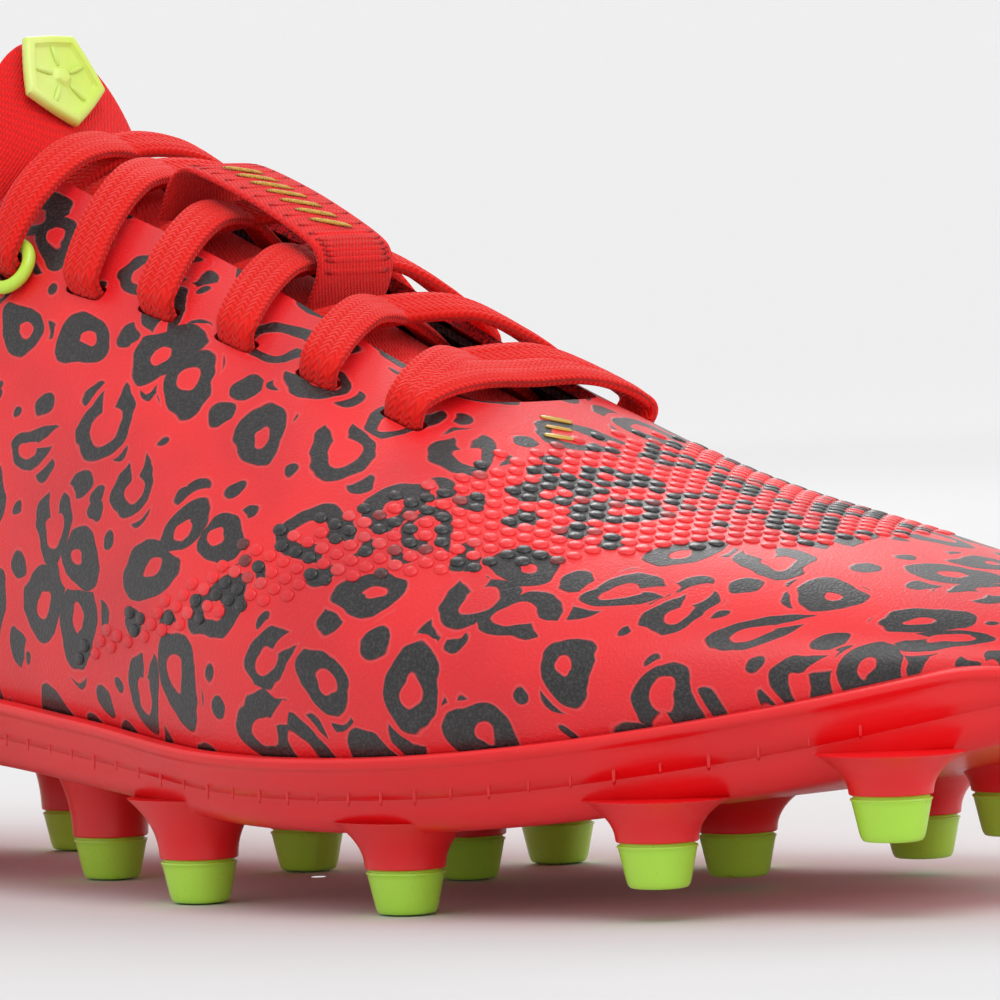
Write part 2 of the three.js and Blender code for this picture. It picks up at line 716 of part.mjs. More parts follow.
node("outsole", outsole(), RED, 0.4);
for (const [name, share, y, foot] of STUDS)
  node(`stud_tip_${name}`, studTip(share, y, foot), NEON, 0.35);
node("upper", upper(), RED, 0.45);
node("collar_panel", collarPanel(), RED, 0.8);
node("collar_padding", collarPadding(), RED, 0.9);
node("lining", lining(), RED, 0.9);
node("heel_counter", heelCounter(), 0xd8d0c0, 0.7);
node("toe_puff", toePuff(), 0xd8d0c0, 0.7);
node("lasting_board", lastingBoard(), 0xe8e0d0, 0.9);
node("sockliner", sockliner(), RED, 0.9);
node("eyestay_lateral", eyestay(-1), 0x202020, 0.8);
node("eyestay_medial", eyestay(1), 0x202020, 0.8);
node("eyelet_ring_lateral", eyeletRing(-1), NEON, 0.35);
node("eyelet_ring_medial", eyeletRing(1), NEON, 0.35);
node("tongue_base", tongueBase(), RED, 0.85);
node("tongue_flap", tongueFlap(), RED, 0.85);
node("tongue_badge", tongueBadge(), NEON, 0.35);
node("lace", lace(), RED, 0.8);
node("lace_keeper", laceKeeper(), RED, 0.9);

// The origin is the middle of the ground under the shoe.
shoe.updateMatrixWorld(true);
const box = new THREE.Box3().setFromObject(shoe, true);
shoe.position.set(-(box.min.x + box.max.x) / 2, -(box.min.y + box.max.y) / 2, -box.min.z);

export default shoe;
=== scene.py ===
"""A soccer cleat for the right foot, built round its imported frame.

Shapes are worked out in millimetres in the last's own frame (heel at x = 0, toe at +X) and moved into
the row frame, in metres, as each mesh is made.
"""

import functools
import math

import bmesh
import bpy
from mathutils import Matrix, Vector


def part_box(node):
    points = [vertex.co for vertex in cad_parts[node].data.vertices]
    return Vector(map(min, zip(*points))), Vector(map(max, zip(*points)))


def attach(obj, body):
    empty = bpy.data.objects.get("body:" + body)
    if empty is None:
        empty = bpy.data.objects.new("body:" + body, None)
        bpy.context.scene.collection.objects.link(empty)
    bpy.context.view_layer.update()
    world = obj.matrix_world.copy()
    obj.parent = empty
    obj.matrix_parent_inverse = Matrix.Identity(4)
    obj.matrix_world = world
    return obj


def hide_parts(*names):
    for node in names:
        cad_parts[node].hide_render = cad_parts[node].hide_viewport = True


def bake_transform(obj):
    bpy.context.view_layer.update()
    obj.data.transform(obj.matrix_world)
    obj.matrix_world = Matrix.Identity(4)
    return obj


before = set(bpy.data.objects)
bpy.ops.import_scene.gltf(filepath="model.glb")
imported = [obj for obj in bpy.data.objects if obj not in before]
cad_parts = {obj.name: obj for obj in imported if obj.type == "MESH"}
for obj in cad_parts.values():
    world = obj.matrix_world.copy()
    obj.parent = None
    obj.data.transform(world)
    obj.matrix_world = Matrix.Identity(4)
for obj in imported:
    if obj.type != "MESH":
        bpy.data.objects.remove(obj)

bl_info = {
    "name": "Soccer cleat",
    "version": (1, 0, 0),
    "blender": (4, 5, 0),
    "location": "View3D > Sidebar > Cleat",
    "description": "Builds the looks of a laced soccer cleat round its frame",
    "category": "Object",
}

ROOT = "shoe"
FLAP_BODY = "tongue_top"
SOCK_BODY = "loose_sockliner"

# ------------------------------------------------------------------ sizes of the last, in millimetres

LENGTH, BALL_WIDTH, INSTEP_RISE = 276, 92, 72.5
SKIN, GAP, COUNTER, LINING, PADDING = 1.6, 0.35, 1.2, 1.0, 5.6
BOARD, SOCKLINER, SOCKLINER_SIDE = 1.6, 4.0, 1.8
PLATE, RIM, RIM_HEIGHT = 3.2, 2.6, 7.0
TAPE, TAPE_WIDTH = 1.0, 13
TONGUE, TONGUE_WING, FLAP_LENGTH, FLAP_WIDTH = 4.2, 12, 17, 46
LACE_THICK, LACE_ROOM = 1.8, 0.4
ROWS, ROW_FIRST, ROW_LAST, EYELET_IN = 6, 0.648, 0.395, 9.5
RING_RADIUS, RING_WIRE, BUNCHED, TOP_RUN = 3.3, 0.95, 0.62, 2.5
KEEPER_WIDTH, KEEPER_THICK, KEEPER_HEIGHT, KEEPER_ROWS = 14, 1.2, 3.4, (2, 4)
TIP_HEIGHT, TIP_TOP, TIP_BOTTOM, STUD_FLARE, STUD_SLIM, STUD_SQUARE = 5.4, 5.3, 4.1, 9.5, 0.84, 2.25
COLLAR_FRONT, PADDING_FRONT, THROAT_BACK, THROAT_END = 0.372, 0.322, 0.25, 0.672
TONGUE_FRONT, HINGE, HINGE_ROOM, TUCK, PADDING_PROUD = 0.7, 0.364, 0.9, 0.1, 3
BADGE_RADIUS, BADGE_HEIGHT, BADGE_UP = 7.5, 1.6, 0.56
UNDER_SKIN = SKIN + TAPE + GAP + LACE_THICK + 2 * LACE_ROOM
FLOOR = SKIN + GAP + BOARD + GAP

# Studs: name, share of the length, y, height of the foot above the ground.
STUDS = [
    ("lateral_heel_back", 0.09, -18, 0), ("lateral_heel_front", 0.25, -22, 0),
    ("medial_heel_back", 0.09, 18, 0), ("medial_heel_front", 0.25, 20, 0),
    ("lateral_1", 0.551, -35, 0), ("lateral_2", 0.696, -37, 0),
    ("lateral_3", 0.838, -32, 4), ("lateral_4", 0.94, -20, 9.5),
    ("medial_1", 0.57, 27, 0), ("medial_2", 0.68, 30, 0),
    ("medial_3", 0.795, 31, 2), ("medial_4", 0.886, 20, 6.5),
    ("centre_1", 0.404, -13, 0), ("centre_2", 0.472, 6, 0),
    ("centre_3", 0.59, 4, 0), ("centre_4", 0.76, 6, 1.5),
]


def row_shift():
    """How far the last's frame stands from the row frame, read off one stud tip."""
    low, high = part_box("stud_tip_lateral_2")
    share, y = STUDS[5][1:3]
    middle = (low + high) / 2
    return Vector((middle.x - share * LENGTH / 1000, middle.y - y / 1000, 0))


SHIFT = row_shift()


def place(p):
    """A point of the last, in millimetres, as a point of the row frame, in metres."""
    return (p[0] / 1000 + SHIFT.x, p[1] / 1000 + SHIFT.y, p[2] / 1000)


# ------------------------------------------------------------------ curves of the last


def through(pairs):
    """A smooth curve through (share of the length, value) pairs."""

    def slope(i):
        a, b = pairs[max(i - 1, 0)], pairs[min(i + 1, len(pairs) - 1)]
        return (b[1] - a[1]) / (b[0] - a[0])

    def value(u):
        i = 0
        while i < len(pairs) - 2 and u > pairs[i + 1][0]:
            i += 1
        a, b = pairs[i], pairs[i + 1]
        span = b[0] - a[0]
        t = min(max((u - a[0]) / span, 0), 1)
        t2, t3 = t * t, t * t * t
        return (a[1] * (2 * t3 - 3 * t2 + 1) + slope(i) * span * (t3 - 2 * t2 + t)
                + b[1] * (3 * t2 - 2 * t3) + slope(i + 1) * span * (t3 - t2))

    return value


half_lateral = through([(0, 0.34), (0.12, 0.345), (0.25, 0.35), (0.38, 0.375), (0.5, 0.44),
                        (0.62, 0.51), (0.72, 0.52), (0.82, 0.475), (0.9, 0.41), (1, 0.34)])
half_medial = through([(0, 0.33), (0.12, 0.335), (0.25, 0.33), (0.38, 0.335), (0.5, 0.365),
                       (0.62, 0.43), (0.72, 0.48), (0.82, 0.48), (0.9, 0.42), (1, 0.36)])
toe_shift = through([(0, 0), (0.6, 0), (0.8, 3), (1, 9)])
ridge_offset = through([(0, 0), (0.4, -0.5), (0.52, -1), (0.66, 0.5), (0.8, 2), (1, 2)])
seam_height = through([(0, 19.5), (0.1, 18.5), (0.25, 19.5), (0.35, 20.5), (0.5, 17),
                       (0.6, 14), (0.7, 13.6), (0.8, 15.4), (0.9, 19.5), (1, 26)])
ridge_share = through([(0, 1.5), (0.25, 1.4), (0.33, 1.24), (0.38, 1.14), (0.43, 1.06), (0.5, 0.97),
                       (0.58, 0.85), (0.66, 0.71), (0.74, 0.565), (0.82, 0.45), (0.9, 0.36),
                       (1, 0.26)])
widest_above = through([(0, 14), (0.3, 14), (0.6, 11), (1, 9)])
collar_line = through([(-0.1, 80), (0, 79), (0.07, 75), (0.13, 66), (0.19, 61.5), (0.25, 63),
                       (0.3, 71), (0.345, 84), (0.38, 97)])
panel_line = through([(-0.1, 52), (0, 52), (0.12, 49), (0.2, 46), (0.27, 50), (0.32, 61),
                      (0.362, 79), (0.38, 87)])
padding_line = through([(-0.1, 50), (0, 50), (0.13, 42), (0.22, 43), (0.31, 57), (0.38, 73)])
throat_half = through([(0.26, 15), (0.38, 13.8), (0.52, 13), (0.65, 12), (0.69, 11.5)])


def round_off(t, power):
    """1 at t = 0, falling in a rounded end to 0 at t = 1."""
    return (1 - min(max(t, 0), 1) ** power) ** (1 / 2.2)


@functools.lru_cache(maxsize=None)
def section(u, o):
    """The last's outline at share u, grown by o."""
    x = -o + u * (LENGTH + 2 * o)
    at = min(max(x / LENGTH, 0), 1)
    ends = round_off(1 - u / 0.115, 2.2) * round_off((u - 0.72) / 0.28, 2.4)
    toe = round_off((u - 0.8) / 0.2, 2.2)
    middle, seam = toe_shift(at), seam_height(at)
    return {
        "x": x, "seam": seam, "middle": middle,
        -1: -(half_lateral(at) * BALL_WIDTH + o) * ends,
        1: (half_medial(at) * BALL_WIDTH + o) * ends,
        "ridge": middle + ridge_offset(at) * ends,
        "low": seam - o * toe,
        "widest": seam + widest_above(at) * toe,
        "high": seam + (ridge_share(at) * INSTEP_RISE + o) * toe,
    }


def lean_at(x, z):
    """How far the back of the heel leans forward at height z."""
    near = max(0, 1 - max(x, 0) / 90)
    lean = 7 * ((z - 38) / 42) ** 2 if z > 38 else 3 * ((38 - z) / 20) ** 2
    return min(lean, 12) * near * near


def on_last(s, side, w):
    """A point of outline s. w runs from 0 on the ridge by 1 at the widest line to 2 at the seam."""
    if w <= 1:
        a = (1 - w) * math.pi / 2
        y = s["ridge"] + (s["middle"] + s[side] - s["ridge"]) * math.cos(a)
        z = s["widest"] + (s["high"] - s["widest"]) * math.sin(a)
    else:
        t = 2 - w
        y = s["middle"] + s[side] * (1 - TUCK * (1 - t) ** 2)
        z = s["low"] + t * (s["widest"] - s["low"])
    return Vector((s["x"] + lean_at(s["x"], z), y, z))


def w_of_height(s, z):
    """Where outline s stands at height z."""
    if z <= s["widest"]:
        return 2 - max(0, (z - s["low"]) / max(s["widest"] - s["low"], 1e-6))
    share = min(1, (z - s["widest"]) / max(s["high"] - s["widest"], 1e-6))
    return 1 - math.asin(share) / (math.pi / 2)


def w_of_line(s, line, rise=0):
    """Where outline s meets a line drawn on the shoe's side."""
    z = line(s["x"] / LENGTH)
    for _ in range(3):
        z = line((s["x"] + lean_at(s["x"], z)) / LENGTH) + rise
    return w_of_height(s, z)


def w_of_aside(s, side, aside):
    """Where outline s stands so far aside of the ridge."""
    out = abs(s["middle"] + s[side] - s["ridge"])
    return 1 - math.acos(min(1, aside / max(out, 1e-6))) / (math.pi / 2)


CORNER = 5.5  # rounded corners of the throat's front end


def throat_w(s, side, wider=0.0):
    """The throat's edge on outline s; 0 in front of its end."""
    end = THROAT_END * LENGTH + wider
    if s["x"] >= end or s["x"] < THROAT_BACK * LENGTH:
        return 0.0
    half = throat_half(s["x"] / LENGTH) + wider
    near = max(0, (s["x"] - (end - CORNER)) / CORNER)
    return w_of_aside(s, side, half * math.sqrt(max(0, 1 - near * near)))


def smooth(a, b, t):
    """0 up to t = a and 1 from t = b, with a soft step between."""
    t = min(max((t - a) / (b - a), 0), 1)
    return t * t * (3 - 2 * t)


def skin_point(x, aside, h):
    """A point h above the skin, `aside` from the ridge line."""

    def height(px, py):
        s = section(px / LENGTH, 0)
        side = -1 if py < s["ridge"] else 1
        out = s["middle"] + s[side] - s["ridge"]
        share = min((py - s["ridge"]) / out, 1)
        return s["widest"] + (s["high"] - s["widest"]) * math.sqrt(1 - share * share)

    y = section(x / LENGTH, 0)["ridge"] + aside
    d = 0.5
    dx = (height(x + d, y) - height(x - d, y)) / (2 * d)
    dy = (height(x, y + d) - height(x, y - d)) / (2 * d)
    normal = Vector((-dx, -dy, 1)).normalized()
    return Vector((x, y, height(x, y))) + normal * h


def skin_along(x, aside, h):
    """The direction along the skin, towards the toe."""
    return (skin_point(x + 1, aside, h) - skin_point(x - 1, aside, h)).normalized()


def row_x(row):
    return LENGTH * (ROW_FIRST + (ROW_LAST - ROW_FIRST) * row / (ROWS - 1))


def row_aside(row):
    return throat_half(row_x(row) / LENGTH) + EYELET_IN


def shares(count, extra=()):
    """Stations from heel to toe, closer together at both ends."""
    base = [0.8 * (0.5 - 0.5 * math.cos(math.pi * i / count)) + 0.2 * i / count
            for i in range(count + 1)]
    return sorted(set(round(u, 6) for u in [*base, *extra]))


# ------------------------------------------------------------------ the skin's own flat map


class SkinMap:
    """Lengths over the skin: along it from the heel, and round it from the ridge."""

    def __init__(self, stations=120, turns=32):
        self.us = [i / stations for i in range(stations + 1)]
        self.ws = [2 * j / turns for j in range(turns + 1)]
        self.along, self.girth = {}, {}
        for side in (-1, 1):
            rows = [[on_last(section(u, 0), side, w) for w in self.ws] for u in self.us]
            self.girth[side] = [self.running(row) for row in rows]
            columns = [self.running([row[j] for row in rows]) for j in range(turns + 1)]
            self.along[side] = [[c[i] for c in columns] for i in range(stations + 1)]

    @staticmethod
    def running(points):
        total, out = 0.0, [0.0]
        for a, b in zip(points, points[1:]):
            total += (b - a).length
            out.append(total)
        return out

    def at(self, u, side, w):
        """(length from the heel, length from the ridge), in millimetres."""
        fi = min(max(u, 0), 1) * (len(self.us) - 1)
        fj = min(max(w, 0), 2) / 2 * (len(self.ws) - 1)
        i, j = min(int(fi), len(self.us) - 2), min(int(fj), len(self.ws) - 2)
        a, b = fi - i, fj - j

        def mixed(t):
            return ((t[i][j] * (1 - b) + t[i][j + 1] * b) * (1 - a)
                    + (t[i + 1][j] * (1 - b) + t[i + 1][j + 1] * b) * a)

        return mixed(self.along[side]), side * mixed(self.girth[side])

    def w_of_girth(self, u, side, girth):
        i = min(int(min(max(u, 0), 1) * (len(self.us) - 1)), len(self.us) - 2)
        row = self.girth[side][i]
        for j in range(len(row) - 1):
            if row[j + 1] >= girth:
                share = (girth - row[j]) / max(row[j + 1] - row[j], 1e-6)
                return self.ws[j] + share * (self.ws[j + 1] - self.ws[j])
        return 2.0


skin_map = SkinMap()

# ------------------------------------------------------------------ mesh helpers


def circle(count):
    """(cosine, sine) at even steps round a circle."""
    turns = [2 * math.pi * i / count for i in range(count)]
    return [(math.cos(t), math.sin(t)) for t in turns]


def squarish(c, s, power):
    """What to divide a radius by, in direction (c, s), to square off a circle. A power of 2 leaves it."""
    return (abs(c) ** power + abs(s) ** power) ** (1 / power)


def quads(rings, count):
    """The faces between rings of count points each."""
    return [(i * count + j, i * count + (j + 1) % count, (i + 1) * count + (j + 1) % count,
             (i + 1) * count + j) for i in range(rings - 1) for j in range(count)]


def linked(name, data):
    """A new object, linked to the scene."""
    made = bpy.data.objects.new(name, data)
    bpy.context.scene.collection.objects.link(made)
    return made


def mesh_object(name, points, faces, materials, uvs=None, uv_name="print", kinds=None, sharp=40):
    """A mesh of points on the last. uvs holds one pair for each point; kinds a material for each face."""
    mesh = bpy.data.meshes.new(name)
    mesh.from_pydata([place(p) for p in points], [], faces)
    for m in materials:
        mesh.materials.append(m)
    if kinds:
        mesh.polygons.foreach_set("material_index", kinds)
    if uvs:
        layer = mesh.uv_layers.new(name=uv_name)
        for loop in mesh.loops:
            layer.data[loop.index].uv = uvs[loop.vertex_index]
    tidy(mesh, sharp)
    return linked(name, mesh)


def tidy(mesh, sharp=40, merge=0.02, recalc=True):
    """Merges doubles, turns faces out and marks creases sharper than an angle."""
    bm = bmesh.new()
    bm.from_mesh(mesh)
    bmesh.ops.remove_doubles(bm, verts=bm.verts, dist=merge / 1000)
    bmesh.ops.dissolve_degenerate(bm, edges=bm.edges, dist=1e-6)
    if recalc:
        bmesh.ops.recalc_face_normals(bm, faces=bm.faces)
    for face in bm.faces:
        face.smooth = True
    limit = math.radians(sharp)
    for edge in bm.edges:
        edge.smooth = not (edge.is_manifold and edge.calc_face_angle(0) > limit)
    bm.to_mesh(mesh)
    bm.free()


def cut(target, tool, operation="DIFFERENCE"):
    """Cuts or joins a plain mesh with another, and removes the tool."""
    modifier = target.modifiers.new("cut", "BOOLEAN")
    modifier.object, modifier.operation, modifier.solver = tool, operation, "MANIFOLD"
    graph = bpy.context.evaluated_depsgraph_get()
    graph.update()
    made = bpy.data.meshes.new_from_object(target.evaluated_get(graph))
    target.modifiers.remove(modifier)
    target.data = made
    bpy.data.objects.remove(tool)
    return target


def lofted(name, rings, finish, uvs=None, uv_name="print", sharp=40, closed_ends=True):
    """A closed skin over rings of equally many points."""
    count = len(rings[0])
    points = [p for ring in rings for p in ring]
    faces = quads(len(rings), count)
    if closed_ends:
        faces.append(tuple(range(count))[::-1])
        faces.append(tuple((len(rings) - 1) * count + j for j in range(count)))
    flat = [uv for ring in uvs for uv in ring] if uvs else None
    return mesh_object(name, points, faces, [finish], flat, uv_name, sharp=sharp)


def shell(name, us, top, bottom, outer, inner, vs, materials, ends=(False, False)):
    """A wall on the last between two lines over it, with its rims as a second material.

    top and bottom give w for an outline and a side. outer and inner give the offset of each face, for
    a share down the wall and one along the shoe.
    """
    points, uvs, faces, kinds, edge = [], [], [], [], {}
    across = len(vs) - 1
    for layer, offset in ((0, outer), (1, inner)):
        for side in (-1, 1):
            for i, u in enumerate(us):
                face_line = section(u, outer(0.5, u))
                high, low = top(face_line, side), bottom(face_line, side)
                for j, v in enumerate(vs):
                    s = section(u, round(offset(v, u), 3))
                    w = high + (low - high) * v
                    edge[layer, side, i, j] = len(points)
                    points.append(on_last(s, side, w))
                    uvs.append(skin_map.at(u, side, w))
    for side in (-1, 1):
        closed = [top(section(u, outer(0.5, u)), side) <= 1e-6 for u in us]
        for i in range(len(us) - 1):
            for j in range(across):
                for layer in (0, 1):
                    faces.append(tuple(edge[layer, side, a, b] for a, b in
                                       ((i, j), (i + 1, j), (i + 1, j + 1), (i, j + 1))))
                    kinds.append(0)
            for j in (0, across):
                if j == 0 and closed[i] and closed[i + 1]:
                    continue
                faces.append((edge[0, side, i, j], edge[0, side, i + 1, j],
                              edge[1, side, i + 1, j], edge[1, side, i, j]))
                kinds.append(1)
        for i, is_end in ((0, ends[0]), (len(us) - 1, ends[1])):
            if is_end:
                for j in range(across):
                    faces.append((edge[0, side, i, j], edge[0, side, i, j + 1],
                                  edge[1, side, i, j + 1], edge[1, side, i, j]))
                    kinds.append(1)
    return mesh_object(name, points, faces, materials, uvs, kinds=kinds)


# ------------------------------------------------------------------ Geometry Nodes: stamps on points


def stamp_tree():
    """One stamp on each point, turned by its `out` and `along` attributes."""
    tree = bpy.data.node_groups.get("stamps")
    if tree:
        return tree
    tree = bpy.data.node_groups.new("stamps", "GeometryNodeTree")
    face = tree.interface
    face.new_socket("Geometry", in_out="INPUT", socket_type="NodeSocketGeometry")
    for name, kind in (("Stamp", "Object"), ("Length", "Float"), ("Width", "Float"),
                       ("Height", "Float"), ("Uneven", "Float"), ("Seed", "Int"),
                       ("Finish", "Material")):
        face.new_socket(name, in_out="INPUT", socket_type="NodeSocket" + kind)
    face.new_socket("Geometry", in_out="OUTPUT", socket_type="NodeSocketGeometry")
    n, link = tree.nodes, tree.links.new
    ins, outs = n.new("NodeGroupInput"), n.new("NodeGroupOutput")
    to_points, place_on = n.new("GeometryNodeMeshToPoints"), n.new("GeometryNodeInstanceOnPoints")
    info, turn = n.new("GeometryNodeObjectInfo"), n.new("FunctionNodeAxesToRotation")
    turn.primary_axis, turn.secondary_axis = "Z", "X"
    size, uneven = n.new("ShaderNodeCombineXYZ"), n.new("FunctionNodeRandomValue")
    uneven.data_type = "FLOAT"
    swing, low, high = (n.new("ShaderNodeVectorMath"), n.new("ShaderNodeMath"), n.new("ShaderNodeMath"))
    swing.operation, low.operation, high.operation = "SCALE", "SUBTRACT", "ADD"
    low.inputs[0].default_value = high.inputs[0].default_value = 1
    for name, socket in (("out", 0), ("along", 1)):
        read = n.new("GeometryNodeInputNamedAttribute")
        read.data_type = "FLOAT_VECTOR"
        read.inputs["Name"].default_value = name
        link(read.outputs["Attribute"], turn.inputs[socket])
    link(ins.outputs["Geometry"], to_points.inputs["Mesh"])
    link(to_points.outputs[0], place_on.inputs["Points"])
    link(ins.outputs["Stamp"], info.inputs["Object"])
    link(info.outputs["Geometry"], place_on.inputs["Instance"])
    link(turn.outputs[0], place_on.inputs["Rotation"])
    for name, axis in (("Length", "X"), ("Width", "Y"), ("Height", "Z")):
        link(ins.outputs[name], size.inputs[axis])
    link(ins.outputs["Uneven"], low.inputs[1])
    link(ins.outputs["Uneven"], high.inputs[1])
    floats = [s for s in uneven.inputs if s.type == "VALUE"]
    link(low.outputs[0], floats[0])
    link(high.outputs[0], floats[1])
    link(ins.outputs["Seed"], uneven.inputs["Seed"])
    link(size.outputs[0], swing.inputs[0])
    amount = next(s for s in uneven.outputs if s.type == "VALUE" and s.enabled)
    link(amount, swing.inputs["Scale"])
    link(swing.outputs[0], place_on.inputs["Scale"])
    real, finish = n.new("GeometryNodeRealizeInstances"), n.new("GeometryNodeSetMaterial")
    link(place_on.outputs[0], real.inputs[0])
    link(real.outputs[0], finish.inputs["Geometry"])
    link(ins.outputs["Finish"], finish.inputs["Material"])
    link(finish.outputs[0], outs.inputs["Geometry"])
    return tree


def stamped(name, marks, stamp, size, finish, uneven=0.0, seed=1):
    """marks: (point, out, along[, (u, v)]) on the last. stamp: a mesh of unit size, in millimetres."""
    mesh = bpy.data.meshes.new(name + "_points")
    mesh.from_pydata([place(m[0]) for m in marks], [], [])
    for key, column in (("out", 1), ("along", 2)):
        data = mesh.attributes.new(key, "FLOAT_VECTOR", "POINT").data
        data.foreach_set("vector", [x for m in marks for x in m[column]])
    if len(marks[0]) > 3:
        data = mesh.attributes.new("spot", "FLOAT_VECTOR", "POINT").data
        data.foreach_set("vector", [x for m in marks for x in (*m[3], 0)])
    points, stamp_object = linked(name + "_points", mesh), linked(name + "_stamp", stamp)
    modifier = points.modifiers.new("stamps", "NODES")
    tree = stamp_tree()
    modifier.node_group = tree
    ids = {i.name: i.identifier for i in tree.interface.items_tree if i.in_out == "INPUT"}
    for key, value in (("Stamp", stamp_object), ("Length", size[0] / 1000), ("Width", size[1] / 1000),
                       ("Height", size[2] / 1000), ("Uneven", uneven), ("Seed", seed),
                       ("Finish", finish)):
        modifier[ids[key]] = value
    graph = bpy.context.evaluated_depsgraph_get()
    graph.update()
    made_mesh = bpy.data.meshes.new_from_object(points.evaluated_get(graph))
    points.modifiers.remove(modifier)
    for o in (points, stamp_object):
        bpy.data.objects.remove(o)
    for polygon in made_mesh.polygons:
        polygon.use_smooth = True
    return linked(name, made_mesh)


def dome_stamp(name, count=10, squareness=2.0, rings=3, flatness=0.0):
    """A low pill: unit long and wide, unit high, flat below. flatness from 0, round, to 1, a disc."""
    points = []
    for k in range(rings):
        a = math.pi / 2 * k / rings
        reach = math.cos(a) ** (1 - 0.75 * flatness)
        for c, s in circle(count):
            r = 0.5 / squarish(c, s, squareness)
            points.append((r * c * reach, r * s * reach, math.sin(a)))
    top, last = len(points), (rings - 1) * count
    points.append((0, 0, 1))
    faces = [tuple(range(count))[::-1], *quads(rings, count)]
    faces += [(last + i, last + (i + 1) % count, top) for i in range(count)]
    mesh = bpy.data.meshes.new(name)
    mesh.from_pydata(points, [], faces)
    return mesh


def even(count):
    """Even steps from 0 to 1."""
    return [i / count for i in range(count + 1)]


def joined(name, objects):
    """Several mesh objects as one, their material slots kept."""
    first = objects[0]
    with bpy.context.temp_override(active_object=first, object=first, selected_objects=objects,
                                   selected_editable_objects=objects):
        bpy.ops.object.join()
    first.name = first.data.name = name
    return first


def skin_frame(u, side, w):
    """(point, out, along, print's coordinates) at a place on the skin."""

    def at(u, w):
        return on_last(section(u, 0), side, w)

    p = at(u, w)
    du = at(min(u + 0.004, 1), w) - at(max(u - 0.004, 0), w)
    dw = at(u, min(w + 0.02, 2)) - at(u, max(w - 0.02, 0))
    out = du.cross(dw).normalized()
    if out.dot(p - Vector((p.x, 0, 20))) < 0:
        out.negate()
    return p, out, du.normalized(), skin_map.at(u, side, w)


def eyelet(row, side):
    """(place, along, across, out) of an eyelet."""
    x, aside = row_x(row), side * row_aside(row)
    at, along = skin_point(x, aside, 0), skin_along(x, aside, 0)
    out = (skin_point(x, aside, 1) - at).normalized()
    return at, along, out.cross(along).normalized(), out


# ------------------------------------------------------------------ materials


def paint(r, g, b):
    """A screen colour, 0 to 255, as a shader colour."""

    def straight(c):
        c = c / 255
        return c / 12.92 if c <= 0.04045 else ((c + 0.055) / 1.055) ** 2.4

    return (straight(r), straight(g), straight(b), 1)


class Look:
    """A procedural material, its nodes written as sums."""

    def __init__(self, name, **values):
        self.material = bpy.data.materials.new(name)
        self.material.use_nodes = True
        self.tree = self.material.node_tree
        self.shader = self.tree.nodes["Principled BSDF"]
        self.set(**values)

    def put(self, socket, value):
        if isinstance(value, bpy.types.NodeSocket):
            self.tree.links.new(value, socket)
        elif value is not None:
            socket.default_value = value

    def set(self, **values):
        for key, value in values.items():
            self.put(self.shader.inputs[key.replace("_", " ")], value)

    def node(self, kind, ins=None, **props):
        made = self.tree.nodes.new(kind)
        for key, value in props.items():
            setattr(made, key, value)
        for key, value in (ins or {}).items():
            self.put(made.inputs[key], value)
        return made

    def math(self, operation, *values, clamp=False):
        made = self.node("ShaderNodeMath", operation=operation, use_clamp=clamp)
        for socket, value in zip(made.inputs, values):
            self.put(socket, value)
        return made.outputs[0]

    add = functools.partialmethod(math, "ADD")
    sub = functools.partialmethod(math, "SUBTRACT")
    mul = functools.partialmethod(math, "MULTIPLY")
    mul_add = functools.partialmethod(math, "MULTIPLY_ADD")
    sin = functools.partialmethod(math, "SINE")
    plain = functools.partialmethod(math, "ABSOLUTE")
    larger = functools.partialmethod(math, "MAXIMUM")

    def vector(self, operation, a, b=None, scale=None):
        made = self.node("ShaderNodeVectorMath", operation=operation)
        self.put(made.inputs[0], a)
        self.put(made.inputs[1], b)
        if scale is not None:
            self.put(made.inputs["Scale"], scale)
        return made.outputs["Value" if operation == "LENGTH" else "Vector"]

    def mix(self, factor, a, b):
        """Colour a, turning into b as the factor goes from 0 to 1."""
        made = self.node("ShaderNodeMix", data_type="RGBA")
        for index, value in ((0, factor), (6, a), (7, b)):
            self.put(made.inputs[index], value)
        return made.outputs[2]

    def step(self, value, low, high, a=0.0, b=1.0):
        """A soft step from a, where the value is low, to b, where it is high."""
        made = self.node("ShaderNodeMapRange", interpolation_type="SMOOTHSTEP")
        for socket, v in zip(made.inputs, (value, low, high, a, b)):
            self.put(socket, v)
        return made.outputs[0]

    def place(self):
        return self.node("ShaderNodeTexCoord").outputs["Object"]

    def flat_map(self, name):
        return self.node("ShaderNodeAttribute", attribute_name=name).outputs["Vector"]

    def axes(self, vector):
        return self.node("ShaderNodeSeparateXYZ", {"Vector": vector}).outputs

    def chances(self, colour):
        """Three chances, each from 0 to 1, out of a cell's colour."""
        return self.node("ShaderNodeSeparateColor", {"Color": colour}).outputs

    def noise(self, at, scale, detail=2.0, roughness=0.5):
        made = self.node("ShaderNodeTexNoise",
                         {"Vector": at, "Scale": scale, "Detail": detail, "Roughness": roughness})
        return made.outputs[0]

    def cells(self, at, scale, randomness):
        return self.node("ShaderNodeTexVoronoi",
                         {"Vector": at, "Scale": scale, "Randomness": randomness},
                         voronoi_dimensions="2D").outputs

    def bump(self, height, distance, strength=1.0):
        """Adds a bump, in metres, over any bump so far."""
        made = self.node("ShaderNodeBump",
                         {"Height": height, "Distance": distance, "Strength": strength})
        normal = self.shader.inputs["Normal"]
        if normal.links:
            self.put(made.inputs["Normal"], normal.links[0].from_socket)
        self.put(normal, made.outputs[0])
        return self


def sizes():
    return bpy.context.scene.cleat_sizes


def colours():
    return bpy.context.scene.cleat_colours


